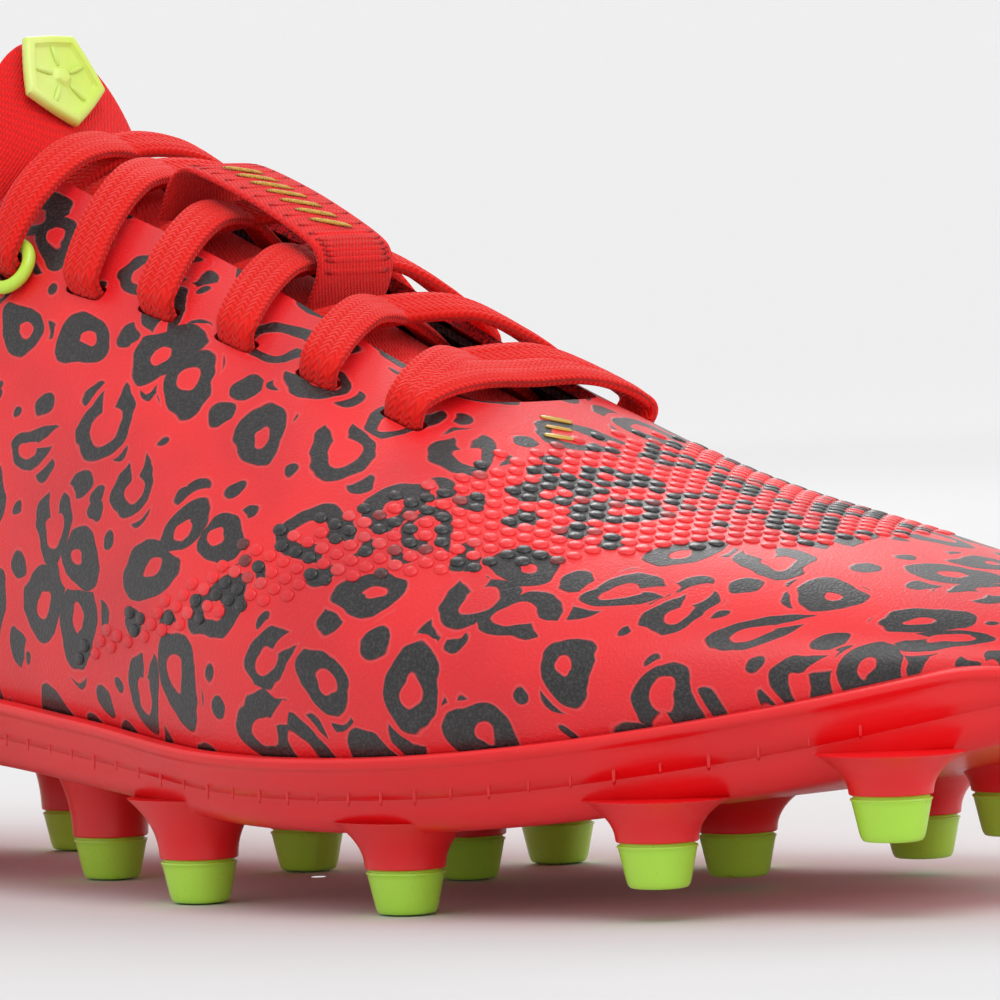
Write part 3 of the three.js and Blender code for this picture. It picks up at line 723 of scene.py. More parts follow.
TURN = 6.283  # one turn, for the sines of the patterns
PALE_SHARE = 0.05  # how much of the pale colour shows in the speckle and round the print
KNIT_RIB, KNIT_LOOP = 1.3, 0.9  # across the panel's ribs and along them, in millimetres
BRAID_PITCH, BRAID_COLUMN = 0.95, 0.78  # along and across the lace, in millimetres


def rosettes(look, at):
    """Broken rings with small spots between them. Gives (inside, near the edge)."""
    drift = look.noise(at, 0.16, 2.0)
    swirl = look.node("ShaderNodeTexNoise", {"Vector": at, "Scale": 0.22, "Detail": 1.5}).outputs[1]
    swirl = look.vector("SCALE", look.vector("SUBTRACT", swirl, (0.5, 0.5, 0.5)), scale=2.4)
    at = look.vector("MULTIPLY", look.vector("ADD", at, swirl), (1, 1, 0))
    unit = look.vector("SCALE", at, scale=1 / (sizes().rosette * 1000))

    # One ring in each cell, turned, squeezed and lobed, with its hollow off the middle.
    big = look.cells(unit, 1.0, 0.6)
    chance = look.chances(big["Color"])
    turned = look.node("ShaderNodeVectorRotate",
                       {"Vector": look.vector("SUBTRACT", unit, big["Position"]),
                        "Angle": look.mul(chance[0], TURN)}, rotation_type="Z_AXIS").outputs[0]
    turned = look.vector("MULTIPLY", turned, (0.88, 1.22, 0))
    parts = look.axes(turned)
    angle, radius = look.math("ARCTAN2", parts[1], parts[0]), look.vector("LENGTH", turned)
    lobes = look.mul(look.sin(look.mul_add(angle, 3.0, look.mul(chance[1], 9.0))), 0.03)
    outer = look.add(look.mul_add(chance[1], 0.12, 0.315), lobes)
    hollow = look.vector("LENGTH", look.vector("ADD", turned, (0.05, 0.03, 0)))
    inner = look.mul(outer, look.mul_add(chance[2], 0.3, 0.26))
    ring = look.larger(look.sub(radius, outer), look.sub(inner, hollow))

    # About half of the rings are open on one side.
    opening = look.mul(look.sub(look.mul_add(drift, 0.7, 0.08), look.plain(angle)), radius)
    opening = look.sub(opening, look.mul(look.math("LESS_THAN", chance[2], 0.5), 5.0))
    ring = look.larger(ring, opening)

    # The small spots keep clear of the rings.
    small = look.cells(look.vector("ADD", unit, (3.7, 1.9, 0)), 1.75, 0.9)
    spot = look.sub(small["Distance"], look.mul_add(look.chances(small["Color"])[0], 0.24, 0.1))
    spot = look.larger(look.mul(spot, 0.57), look.sub(look.add(outer, 0.1), radius))
    field = look.math("MINIMUM", ring, spot)
    inside = look.step(field, 0.011, -0.011)
    edge = look.step(look.plain(look.sub(field, 0.012)), 0.02, 0.005)
    return inside, edge


def printed_skin(name, knit=False, scales=False):
    """Red synthetic with a raised black print. With knit, ribbed like the ankle panel."""
    c = colours()
    look = Look(name)
    flat, at = look.flat_map("spot" if scales else "print"), look.place()
    inside, edge = rosettes(look, flat)
    red = look.mix(look.step(look.noise(at, 38.0, 3.0), 0.3, 0.75), c.upper_red, c.upper_deep_red)
    # Painted shade: the skin turns towards the deep red near its bottom, by the sole.
    red = look.mix(look.step(look.axes(at)[2], 0.05, 0.02, 0.0, 0.45), red, c.upper_deep_red)
    grain = look.noise(at, 2600.0, 2.0, 0.6)
    speck = look.step(look.noise(at, 4200.0, 1.0), 0.66, 0.74)
    for bright in (speck, edge):
        red = look.mix(look.mul(bright, PALE_SHARE), red, c.pale)
    black = look.mix(look.mul(look.step(grain, 0.4, 0.75), PALE_SHARE), c.print_black, c.pale)
    rough, sheen, coat, shine = (0.78, 0.1, 0.0, 0.25) if knit else (0.36, 0.0, 0.4, 0.42)
    look.set(Base_Color=look.mix(inside, red, black),
             Roughness=look.mul_add(grain, 0.2, look.mul_add(inside, -0.1, rough)),
             Sheen_Weight=sheen, Sheen_Roughness=0.4, Coat_Weight=coat, Coat_Roughness=0.27,
             Specular_IOR_Level=shine)
    look.bump(grain, 0.00022, 0.55).bump(inside, 0.00016, 0.7)
    if knit:
        parts = look.axes(flat)
        rib = look.sin(look.mul(parts[0], TURN / KNIT_RIB))
        loop = look.sin(look.mul_add(parts[1], TURN / KNIT_LOOP, look.mul(rib, 1.2)))
        look.bump(look.add(rib, loop), 0.00024, 0.8)
    return look.material


def woven(name, colour, deep, pitch=0.0007, rough=0.85, sheen=0.12, slub=0.2):
    """Cloth woven in a fine twill, on the piece's own coordinates."""
    look = Look(name, Roughness=rough, Sheen_Weight=sheen, Sheen_Roughness=0.45,
                Specular_IOR_Level=0.25)
    at = look.place()
    parts = look.axes(at)
    a = look.sin(look.mul(look.add(parts[1], parts[0]), TURN / pitch))
    b = look.sin(look.mul(look.sub(parts[1], parts[2]), TURN / pitch))
    weave = look.mul(look.add(a, b), 0.5)
    fuzz, cloud = look.noise(at, 3500.0, 2.0, 0.7), look.noise(at, 60.0, 3.0)
    shade = look.add(look.mul(weave, 0.18), look.mul(look.sub(cloud, 0.5), 2 * slub))
    look.set(Base_Color=look.mix(look.add(shade, 0.42, clamp=True), colour, deep))
    look.bump(weave, pitch * 0.35, 0.7).bump(fuzz, 0.0002, 0.6)
    return look.material


def moulded(name, colour, deep, rough=0.32, glow=0.0):
    """Moulded plastic: satin, a little cloudy, with fine wear."""
    look = Look(name, Coat_Weight=0.18, Coat_Roughness=0.25, Subsurface_Weight=glow,
                Subsurface_Scale=0.004, Subsurface_Radius=(1.0, 0.35, 0.25))
    at = look.place()
    cloud, fine = look.noise(at, 45.0, 3.0), look.noise(at, 900.0, 3.0, 0.6)
    long = look.vector("MULTIPLY", at, (1.0, 1.0, 4.0))
    scuff = look.step(look.noise(long, 220.0, 4.0, 0.7), 0.62, 0.8)
    look.set(Base_Color=look.mix(look.step(cloud, 0.25, 0.8, 0.0, 0.75), colour, deep),
             Roughness=look.mul_add(fine, 0.16, look.mul_add(scuff, 0.16, rough - 0.08)))
    look.bump(fine, 0.0001, 0.35)
    return look.material


def braided(name, colour, deep):
    """The lace: flat braid in a herringbone, on its own lengthwise map, in millimetres."""
    look = Look(name, Roughness=0.72, Sheen_Weight=0.1, Sheen_Roughness=0.35, Specular_IOR_Level=0.22)
    at, parts = look.place(), look.axes(look.flat_map("braid"))
    column = look.math("PINGPONG", parts[1], BRAID_COLUMN)
    slant = look.sin(look.mul(look.add(parts[0], look.mul(column, 1.1)), TURN / BRAID_PITCH))
    valley = look.sin(look.mul(column, 3.1416 / BRAID_COLUMN))
    fuzz, cloud = look.noise(at, 4000.0, 2.0, 0.7), look.noise(at, 90.0, 2.0)
    shade = look.add(look.mul(slant, -0.14), look.mul_add(cloud, 0.4, 0.1), clamp=True)
    look.set(Base_Color=look.mix(shade, colour, deep))
    look.bump(look.add(slant, look.mul(valley, 0.8)), 0.00016, 0.7).bump(fuzz, 0.00012, 0.4)
    return look.material


def cut_edge(name, colour, deep):
    """The bare edge of the skin: thin layers with a frayed line."""
    look = Look(name, Roughness=0.9)
    fray = look.noise(look.place(), 2400.0, 2.0, 0.8)
    look.set(Base_Color=look.mix(look.step(fray, 0.35, 0.65), colour, deep))
    look.bump(fray, 0.0003, 0.8)
    return look.material


def fibre_board(name, colour, deep, rough=0.85):
    """Pressed board, with its fibres drawn out along one way."""
    look = Look(name, Roughness=rough)
    long = look.vector("MULTIPLY", look.place(), (1.0, 3.0, 1.0))
    fibres = look.noise(long, 700.0, 4.0, 0.7)
    look.set(Base_Color=look.mix(look.step(fibres, 0.3, 0.7), colour, deep))
    look.bump(fibres, 0.0002, 0.5)
    return look.material


@functools.lru_cache(maxsize=None)
def material(name):
    """The finishes, each made once."""
    c = colours()
    return {
        "skin": lambda: printed_skin("printed_skin"),
        "knit": lambda: printed_skin("printed_knit", knit=True),
        "scales": lambda: printed_skin("printed_scales", scales=True),
        "skin_edge": lambda: cut_edge("skin_edge", c.print_black, c.upper_deep_red),
        "knit_edge": lambda: cut_edge("knit_edge", c.upper_deep_red, c.tongue_red),
        "roll": lambda: woven("collar_cloth", c.tongue_red, c.upper_deep_red, 0.0009, 0.9, 0.15),
        "lining": lambda: woven("lining_cloth", c.tongue_red, c.upper_deep_red, 0.0011, 0.92, 0.12),
        "sockliner": lambda: woven("sockliner_cloth", c.tongue_red, c.upper_deep_red, 0.0013, 0.95),
        "tongue": lambda: woven("tongue_cloth", c.tongue_red, c.upper_red, 0.0006, slub=0.15),
        "thread": lambda: woven("thread", c.tongue_red, c.upper_deep_red, 0.0004, 0.6, 0.05),
        "gold_thread": lambda: woven("gold_thread", c.gold, c.gold_deep, 0.0004, 0.55, 0.05),
        "gold": lambda: moulded("gold_film", c.gold, c.gold_deep, 0.25),
        "webbing": lambda: woven("webbing", c.lace_red, c.upper_deep_red, 0.0006),
        "braid": lambda: braided("lace_braid", c.lace_red, c.lace_deep_red),
        "sole": lambda: moulded("sole_plastic", c.sole_red, c.sole_deep_red, 0.34, 0.12),
        "tip": lambda: moulded("stud_plastic", c.stud_green, c.stud_deep_green, 0.3, 0.12),
        "ring": lambda: moulded("ring_plastic", c.ring_green, c.stud_green, 0.22, 0.1),
        "badge": lambda: moulded("badge_rubber", c.ring_green, c.pale_green, 0.4, 0.15),
        "tape": lambda: woven("eyelet_tape", c.print_black, c.tape_grey, 0.001, 0.9, 0.1),
        "stiff": lambda: fibre_board("stiffener_sheet", c.board, c.board_deep),
        "board": lambda: fibre_board("lasting_board_fibre", c.board, c.pale, 0.92),
    }[name]()


# ------------------------------------------------------------------ sole


CORNER_ROUND = 4.5  # between the plate and its sidewall
LIP = 0.7  # how far the lip stands out at the sidewall's top
LIP_SHAPE = ((1.7, 0.2), (1.45, 0.8), (1.0, 1.0), (0.5, 0.8), (0.12, 0.25))  # (down, share of the lip)
NARROW = 20  # the corner and the lip fade out where the sole is narrower than this
TICK_UP, TICK_SIZE = 2.3, (3.0, 0.5, 0.16)


def tucked(s, z):
    """The sidewall's width at height z over outline s, as a share of that outline's."""
    t = min(max((z - s["seam"]) / max(s["widest"] - s["seam"], 1e-6), 0), 1)
    return 1 - TUCK * (1 - t) ** 2


def sole_tray():
    """The plate with its sidewall, hollow for the foot."""
    rings = []
    for u in (0.5 - 0.5 * math.cos(math.pi * i / 150) for i in range(151)):
        grown, inner = section(u, RIM), section(u, GAP)
        seam, middle, x = grown["seam"], grown["middle"], grown["x"]
        top = seam + RIM_HEIGHT * (1 - 0.5 * smooth(0.95, 1, u))

        def wall(side, z, out=0.0):
            wide = abs(grown[side])
            return side * (wide * tucked(grown, z) + out * min(1, wide / NARROW))

        def half(side):
            wide = abs(grown[side])
            round_in = CORNER_ROUND * min(1, wide / NARROW)
            foot = wide * (1 - TUCK) - round_in
            points = [(side * foot * k, seam - PLATE) for k in (0.35, 0.7)]
            for a in range(7):
                t = a / 6 * math.pi / 2
                points.append((side * (foot + round_in * math.sin(t)),
                               seam - PLATE + CORNER_ROUND * (1 - math.cos(t))))
            start = seam - PLATE + CORNER_ROUND
            heights = [start + (top - 1.9 - start) * k / 5 for k in range(1, 6)]
            points += [(wall(side, z), z) for z in heights]
            points += [(wall(side, top - down, LIP * share), top - down) for down, share in LIP_SHAPE]
            points.append((wall(side, top, -0.5), top))
            outside = [Vector((x + lean_at(x, z), middle + y, z)) for y, z in points]
            w = w_of_height(inner, top - 0.1)
            inside = [on_last(inner, side, w + (2 - w) * k / 4) for k in range(5)]
            keel = Vector((inner["x"], inner["middle"], inner["low"]))
            inside.append(on_last(inner, side, 2).lerp(keel, 0.5))
            return outside, inside

        lo, li = half(-1)
        mo, mi = half(1)
        bottom = Vector((x + lean_at(x, seam - PLATE), middle, seam - PLATE))
        floor = Vector((inner["x"] + lean_at(inner["x"], inner["low"]), inner["middle"], inner["low"]))
        rings.append([bottom, *lo, *li, floor, *reversed(mi), *reversed(mo)])
    return lofted("sole_tray", rings, material("sole"), closed_ends=False, sharp=35)


def around(profile, x, y, z, count):
    """Rings of a stud from (radius, height) pairs, each a rounded oval."""
    return [[Vector((x + r / squarish(c, s, STUD_SQUARE) * c,
                     y + r / squarish(c, s, STUD_SQUARE) * s * STUD_SLIM, z + h))
             for c, s in circle(count)] for r, h in profile]


def stud_base(share, y, foot):
    """Rings of a stud's red base, flaring into the plate and sunk into it."""
    start = foot + TIP_HEIGHT + GAP
    rise = seam_height(share) - PLATE + 1.6 - start
    profile = [(TIP_TOP - 0.1, 0), (TIP_TOP + 0.08, 0.15)]
    for k in range(1, 13):
        t = k / 12
        profile.append((TIP_TOP + 0.1 + (STUD_FLARE - TIP_TOP) * t ** 2.2, max(rise, 3) * t))
    return around(profile, share * LENGTH, y, start, 44)


def sole_ticks():
    """Short raised ticks in a row along both sidewalls."""
    marks = []
    for side in (-1, 1):
        for k in range(0, 150, 3):
            u = 0.03 + 0.94 * k / 149
            if not 0.42 < u < 0.93:
                continue
            s, ahead = section(u, RIM), section(min(u + 0.004, 1), RIM)
            z = s["seam"] + TICK_UP
            along = Vector((ahead["x"] - s["x"], ahead[side] - s[side], 0)).normalized()
            out = Vector((0, side, 0))
            out = (out - along * out.dot(along)).normalized()
            at = Vector((s["x"], s["middle"] + s[side] * tucked(s, z), z))
            marks.append((at, out, Vector((0, 0, 1))))
    return stamped("sole_ticks", marks, dome_stamp("tick", 8, 3.0, 2), TICK_SIZE, material("sole"), 0.25, 7)


def make_outsole():
    tray = sole_tray()
    bases = [lofted("base_" + name, stud_base(share, y, foot), material("sole"))
             for name, share, y, foot in STUDS]
    for base in bases:
        cut(tray, base, "UNION")
    tidy(tray.data, 38, 0.01, False)
    made = joined("cleat_sole", [tray, sole_ticks()])
    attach(made, ROOT)
    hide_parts("outsole")


def make_studs():
    for name, share, y, foot in STUDS:
        profile = [(TIP_BOTTOM - inwards, h) for inwards, h in
                   ((1.9, 0.25), (1.5, 0.0), (0.75, 0.0), (0.32, 0.12), (0.05, 0.5))]
        for k in range(1, 8):
            t = k / 7
            profile.append((TIP_BOTTOM + (TIP_TOP - 0.2 - TIP_BOTTOM) * t, 0.5 + (TIP_HEIGHT - 0.9) * t))
        profile += [(TIP_TOP - 0.02, TIP_HEIGHT - 0.25), (TIP_TOP - 0.1, TIP_HEIGHT - 0.05),
                    (TIP_TOP - 0.35, TIP_HEIGHT + 0.02), (TIP_TOP - 0.5, TIP_HEIGHT + GAP - 0.02)]
        made = lofted("cleat_tip_" + name, around(profile, share * LENGTH, y, foot, 48),
                      material("tip"), sharp=45)
        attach(made, ROOT)
        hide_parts("stud_tip_" + name)


# ------------------------------------------------------------------ upper


def upper_top(s, side):
    w = throat_w(s, side)
    if s["x"] < COLLAR_FRONT * LENGTH:
        w = max(w, w_of_line(s, panel_line, -GAP))
    return w


def panel_top(s, side):
    return max(throat_w(s, side), w_of_line(s, collar_line))


HOLE_RADIUS, SLIT_LONG, SLIT_WIDE, SLIT_REACH = 2.35, 3.6, 1.3, 6  # halves of each, in millimetres


def slit_tools():
    """A tool through the skin for each slit, and for the round hole of each ring."""
    tools = []
    for row in range(ROWS):
        for side in (-1, 1):
            at, along, across, out = eyelet(row, side)
            long, wide, power = SLIT_LONG, SLIT_WIDE, 0.45
            if row == ROWS - 1:
                long, wide, power = HOLE_RADIUS, HOLE_RADIUS, 1
            ring = [along * (math.copysign(abs(c) ** power, c) * long)
                    + across * (math.copysign(abs(s) ** power, s) * wide) for c, s in circle(20)]
            ends = [[at + p + out * h for p in ring] for h in (-SLIT_REACH, SLIT_REACH)]
            tools.append(lofted("slit", ends, material("skin_edge")))
    return tools


def make_upper():
    extra = [THROAT_END - CORNER / LENGTH * (1 - math.sin(k / 10 * math.pi / 2)) for k in range(11)]
    extra += [COLLAR_FRONT - 0.0004, COLLAR_FRONT + 0.0004]
    us = shares(170, extra)
    made = shell("cleat_upper", us, upper_top, lambda s, side: 2.0, lambda v, u: 0.0,
                 lambda v, u: -SKIN, even(46), [material("skin"), material("skin_edge")])
    for tool in slit_tools():
        cut(made, tool)
    tidy(made.data, 38, 0.01, False)
    made = joined("cleat_upper", [made, make_scales(), edge_stitches(), vamp_mark()])
    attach(made, ROOT)
    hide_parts("upper")


# Where the raised scales begin and end along the shoe, at a length round the skin from the ridge.
scales_back = through([(0, 0.705), (14, 0.7), (26, 0.69), (37, 0.665), (48, 0.62), (60, 0.565),
                       (70, 0.51), (80, 0.445)])
scales_front = through([(0, 0.868), (14, 0.855), (26, 0.81), (37, 0.762), (48, 0.69), (60, 0.608),
                        (70, 0.54), (80, 0.465)])


SCALES_GIRTH, SCALES_LOWEST, SCALE_SUNK, SCALE_HIGH = 76, 1.75, 0.06, 0.3


def make_scales():
    """Staggered rows of half-round scales over the vamp, thinning to a few rows along the sides."""
    s = sizes()
    pitch, rise = s.scale_pitch * 1000, s.scale_pitch * 1000 * 0.74
    marks, row = [], 0
    while row * rise < SCALES_GIRTH:
        girth, stagger = row * rise, (row % 2) * pitch / LENGTH / 2
        u = math.ceil((scales_back(girth) + stagger) * LENGTH / pitch) * pitch / LENGTH + stagger
        while u < scales_front(girth):
            for side in (-1, 1):
                w = skin_map.w_of_girth(u, side, girth)
                if w < SCALES_LOWEST and not (row == 0 and side > 0):
                    p, out, along, uv = skin_frame(u, side, w)
                    marks.append((p - out * SCALE_SUNK, out, along, uv))
            u += pitch / LENGTH
        row += 1
    return stamped("scales", marks, dome_stamp("scale", 12, 2.2, 3, 0.9),
                   (s.scale_pitch * 880, s.scale_pitch * 660, SCALE_HIGH), material("scales"), 0.05, 3)


def stitch_row(line, u0, u1, rise, pitch):
    """Stitches along a side line, rise above or below it."""
    marks = []
    for side in (-1, 1):
        u = u0
        while u < u1:
            s = section(u, 0)
            w = w_of_line(s, line, rise)
            if throat_w(s, side) < w - 0.05:
                p, out, _, uv = skin_frame(u, side, w)
                ahead = section(u + 0.004, 0)
                q = on_last(ahead, side, w_of_line(ahead, line, rise))
                marks.append((p, out, (q - p).normalized(), uv))
            u += pitch / LENGTH
    return marks


def vamp_mark():
    """A small gold mark of three plain strokes on the vamp."""
    marks = []
    for ahead, aside in ((0, -5.6), (1.9, -7.4), (3.8, -9.2)):
        x = 0.688 * LENGTH + ahead
        p, along = skin_point(x, aside, 0.02), skin_along(x, aside, 0)
        out = (skin_point(x, aside, 1) - p).normalized()
        marks.append((p, out, (along + out.cross(along) * 0.9).normalized()))
    return stamped("vamp_mark", marks, dome_stamp("stroke", 10, 4.0, 2, 0.8), (4.2, 1.1, 0.22),
                   material("gold"), 0.15, 4)


def edge_stitches():
    """Two rows of stitches under the ankle panel's edge."""
    marks = [mark for below in (-2.2, -4.4) for mark in stitch_row(panel_line, 0.012, 0.36, below, 2.6)]
    return stamped("panel_stitches", marks, dome_stamp("stitch", 8, 2.0, 2), (1.9, 0.55, 0.3),
                   material("thread"), 0.06, 5)


def make_panel():
    front = COLLAR_FRONT - GAP / LENGTH
    us = [u for u in shares(170, [front]) if u <= front + 1e-6]

    def bottom(s, side):
        return max(w_of_line(s, panel_line), panel_top(s, side) + 0.002)

    made = shell("cleat_collar_panel", us, panel_top, bottom, lambda v, u: 0.0, lambda v, u: -SKIN,
                 even(20), [material("knit"), material("knit_edge")], ends=(False, True))
    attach(made, ROOT)
    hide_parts("collar_panel")


ROLL_BACK = 0.285  # where the roll's front end begins to close
ROLL_THIN, ROLL_FULL = 0.42, 0.58  # shares of the padding: always there, and added where it is plump


def make_roll():
    """The padded roll: full at its top, quilted below, and slim at its lower edge."""
    us = [u * PADDING_FRONT for u in even(90)]
    vs = [v ** 1.6 for v in even(40)]

    def ends(u):
        return max(0.0, 1 - max(0.0, (u - ROLL_BACK) / (PADDING_FRONT - ROLL_BACK)) ** 2) ** 0.5

    def plump(v, u):
        top = math.sqrt(max(0.0, 1 - max(0.0, 1 - v / 0.16) ** 2))
        foot = smooth(1.0, 0.86, v)
        return top * (0.25 + 0.75 * foot) * ends(u)

    def outer(v, u):
        return -SKIN - GAP - PADDING * ROLL_THIN * (1 - plump(v, u)) * smooth(0.5, 0.0, v)

    def inner(v, u):
        wave = 0.9 + 0.1 * math.cos(2 * math.pi * min(v, 0.9) / 0.3)
        deep = PADDING * (ROLL_THIN + ROLL_FULL * plump(v, u) * wave)
        if v < 0.001 or u > PADDING_FRONT - 1e-6:
            deep = PADDING * ROLL_THIN + 0.02
        return -SKIN - GAP - deep

    made = shell("cleat_collar_roll", us, lambda s, side: w_of_line(s, collar_line, PADDING_PROUD),
                 lambda s, side: w_of_line(s, padding_line), outer, inner, vs,
                 [material("roll"), material("roll")], ends=(False, True))
    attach(made, ROOT)
    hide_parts("collar_padding")


def make_lining():
    low = SKIN + COUNTER + 2 * GAP

    def top(s, side):
        w = throat_w(s, side, TAPE_WIDTH + 2)
        if s["x"] < COLLAR_FRONT * LENGTH + 1:
            w = max(w, w_of_line(s, padding_line, -GAP))
        return w

    def bottom(s, side):
        return max(top(s, side) + 0.01, w_of_height(s, s["seam"] + FLOOR))

    us = shares(110, [COLLAR_FRONT + 0.0036, COLLAR_FRONT + 0.0044])
    made = shell("cleat_lining", us, top, bottom, lambda v, u: -low, lambda v, u: -low - LINING,
                 even(24), [material("lining"), material("lining")])
    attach(made, ROOT)
    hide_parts("lining")


SOCKLINER_FRONT, SOCKLINER_SHARE, SOCKLINER_ROUND = 0.93, 0.93, 1.3


def make_sockliner():
    """The loose insole, dished a little along its middle."""
    inset = SKIN + COUNTER + LINING + 2 * GAP + SOCKLINER_SIDE
    rings = []
    for u in shares(90, [SOCKLINER_FRONT]):
        if u > SOCKLINER_FRONT:
            break
        s = section(u, -inset)
        low, high = s["seam"] + FLOOR, s["seam"] + FLOOR + SOCKLINER

        def at(y, z):
            return Vector((s["x"] + lean_at(s["x"], z), s["middle"] + y, z))

        def side_points(side):
            wide = abs(s[side]) * SOCKLINER_SHARE
            soft = min(SOCKLINER_ROUND, wide * 0.5)
            points = [(wide * 0.5, high - 0.7), (wide * 0.8, high - 0.45)]
            for a in (k / 5 * math.pi / 2 for k in range(6)):
                points.append((wide - soft + soft * math.sin(a), high - 0.15 - soft * (1 - math.cos(a))))
            points += [(wide, low + 0.8), (wide - min(0.5, soft), low), (wide * 0.5, low)]
            return [at(side * y, z) for y, z in points]

        rings.append([at(0, high - 0.8), *side_points(-1), at(0, low), *reversed(side_points(1))])
    made = lofted("cleat_sockliner", rings, material("sockliner"))
    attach(made, SOCK_BODY)
    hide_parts("sockliner")


# ------------------------------------------------------------------ tongue


def base_point(u, aside, deep):
    """A point of the tongue under the throat, so deep below its upper face."""
    return skin_point(u * LENGTH, aside, -UNDER_SKIN - deep)


def flap_point(s, aside, deep):
    """A point of the loose top, s above the fold."""
    root, foot = base_point(HINGE, 0, deep), base_point(HINGE, aside, deep)
    share = s / FLAP_LENGTH
    steep = math.radians(58 + 8 * share)
    drop, back = ((root.z - foot.z) * (1 - 0.45 * share), (root.x - foot.x) * (1 - 0.45 * share))
    return Vector((root.x - s * math.cos(steep) - back, foot.y, root.z + s * math.sin(steep) - drop))


def flap_half(s):
    """Half the width of the loose top, s above the fold."""
    root = throat_half(HINGE) - 1
    swell = root + (FLAP_WIDTH / 2 - root) * smooth(0, 0.34 * FLAP_LENGTH, s)
    t = max(0, (s - 0.45 * FLAP_LENGTH) / (0.55 * FLAP_LENGTH))
    return swell * math.sqrt(max(0.0, 1 - t ** 2.4))


def tongue_stations():
    """(half width, point function, share of the thickness) from the toe end to the flap's tip."""
    out = []
    for k in range(61):
        u = TONGUE_FRONT + (HINGE + 0.002 - TONGUE_FRONT) * k / 60
        wide = throat_half(u) + TONGUE_WING
        narrow = throat_half(HINGE) - 1
        half = narrow + (wide - narrow) * smooth(HINGE, 0.402, u)
        out.append((half, functools.partial(base_point, u), min(1, 0.35 + k / 8)))
    for k in range(36):
        s = HINGE_ROOM + (FLAP_LENGTH - HINGE_ROOM) * math.sin(k / 35 * math.pi / 2)
        out.append((max(flap_half(s), 0.05), functools.partial(flap_point, s),
                    max(0.12, math.sqrt(max(0, 1 - (s / FLAP_LENGTH) ** 10)))))
    return out


def make_tongue():
    across = [math.sin(math.pi / 2 * k / 12) for k in range(-12, 13)]
    middle, rings = TONGUE / 2, []
    for half, point, full in tongue_stations():
        top, low = [], []
        for t in across:
            swell = middle * math.sqrt(max(0, 1 - abs(t) ** 9)) * full
            top.append(point(t * half, middle - swell))
            low.append(point(t * half, middle + swell))
        rings.append(top + low[::-1][1:-1])
    made = lofted("cleat_tongue", rings, material("tongue"), sharp=60)
    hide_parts("tongue_base", "tongue_flap")
    a, b = place(base_point(HINGE + 0.006, 0, TONGUE / 2)), place(flap_point(3.0, 0, TONGUE / 2))
    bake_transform(made)
    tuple(a)
    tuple(b)


def flap_basis(s, lift):
    """(place, right, up, out) on the face of the loose top."""
    at = flap_point(s, 0, 0)
    up = (flap_point(s + 1, 0, 0) - flap_point(s - 1, 0, 0)).normalized()
    out = Vector((up.z, 0, -up.x))
    if out.x < 0:
        out.negate()
    right = up.cross(out)
    return at + out * lift, right, up, out


def make_badge():
    at, right, up, out = flap_basis(BADGE_UP * FLAP_LENGTH, GAP + 0.25)
    r, h = BADGE_RADIUS, BADGE_HEIGHT
    profile = [(r - 0.35, 0.0), (r, 0.3), (r, h * 0.62), (r - 0.35, h * 0.9), (r - 0.9, h),
               (r - 1.5, h * 0.97), (r - 1.9, h * 0.66), (r - 2.3, h * 0.6), (1.9, h * 0.6),
               (1.5, h * 0.72), (1.2, h * 0.95), (0.8, h)]
    rings = []
    for radius, height in profile:
        ring = []
        for i in range(60):
            t = 2 * math.pi * i / 60
            part = (t + math.pi / 5) % (2 * math.pi / 5) - math.pi / 5
            soft = math.cos(math.pi / 5) / math.cos(part)
            k = radius * (0.86 * soft + 0.14)
            ring.append(at + right * (k * math.sin(t)) + up * (k * math.cos(t)) + out * height)
        rings.append(ring)
    made = lofted("badge_plate", rings, material("badge"), sharp=50)
    marks = []
    for c, s in circle(5):
        way = right * s + up * c
        marks.append((at + way * (r * 0.43) + out * (h * 0.55), out, way))
    spokes = stamped("spokes", marks, dome_stamp("spoke", 12, 3.0, 3), (3.4, 0.9, 0.55),
                     material("badge"))
    made = joined("cleat_badge", [made, spokes])
    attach(made, FLAP_BODY)
    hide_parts("tongue_badge")


# ------------------------------------------------------------------ lace, keeper and rings

OVER = LACE_THICK / 2 + LACE_ROOM + 0.2
UNDER = SKIN + GAP + TAPE + LACE_ROOM + LACE_THICK / 2


def lace_station(x, aside, h, share=1.0):
    """(middle, width direction, share of the width) of a band at a place over the skin."""
    return skin_point(x, aside, h), skin_along(x, aside, h), share


def strand(row, side, ahead, dives, short=0.0):
    """Stations of one strand, up through its eyelet and across the throat."""
    ringed = row == ROWS - 1
    width = BUNCHED if ringed else 1
    hop = OVER + (RING_WIRE + 1.1 if ringed else 0.9)
    x0, x1 = row_x(row), row_x(row) + ahead
    a0, a1 = side * row_aside(row), -side * (row_aside(row) - short)

    def at(t, h):
        return lace_station(x0 + (x1 - x0) * t, a0 + (a1 - a0) * t, h)

    far = -UNDER if dives else OVER
    points = [
        lace_station(x0, a0, -UNDER, width), lace_station(x0, a0, OVER if ringed else 0.3, width),
        lace_station(x0, a0 - side * 1.1, hop, (1 + width) / 2), at(0.14, hop), at(0.3, OVER),
        at(0.5, -1.6 if dives else OVER - 1), at(0.7, far + 0.5 if dives else OVER),
        at(0.86, far if dives else OVER + 0.9),
        lace_station(x1, a1 + side * (0 if dives else 1.1), far if dives else OVER + 0.9),
    ]
    if not dives:
        points += [lace_station(x1, a1, 0.3), lace_station(x1, a1, -UNDER)]
    return points


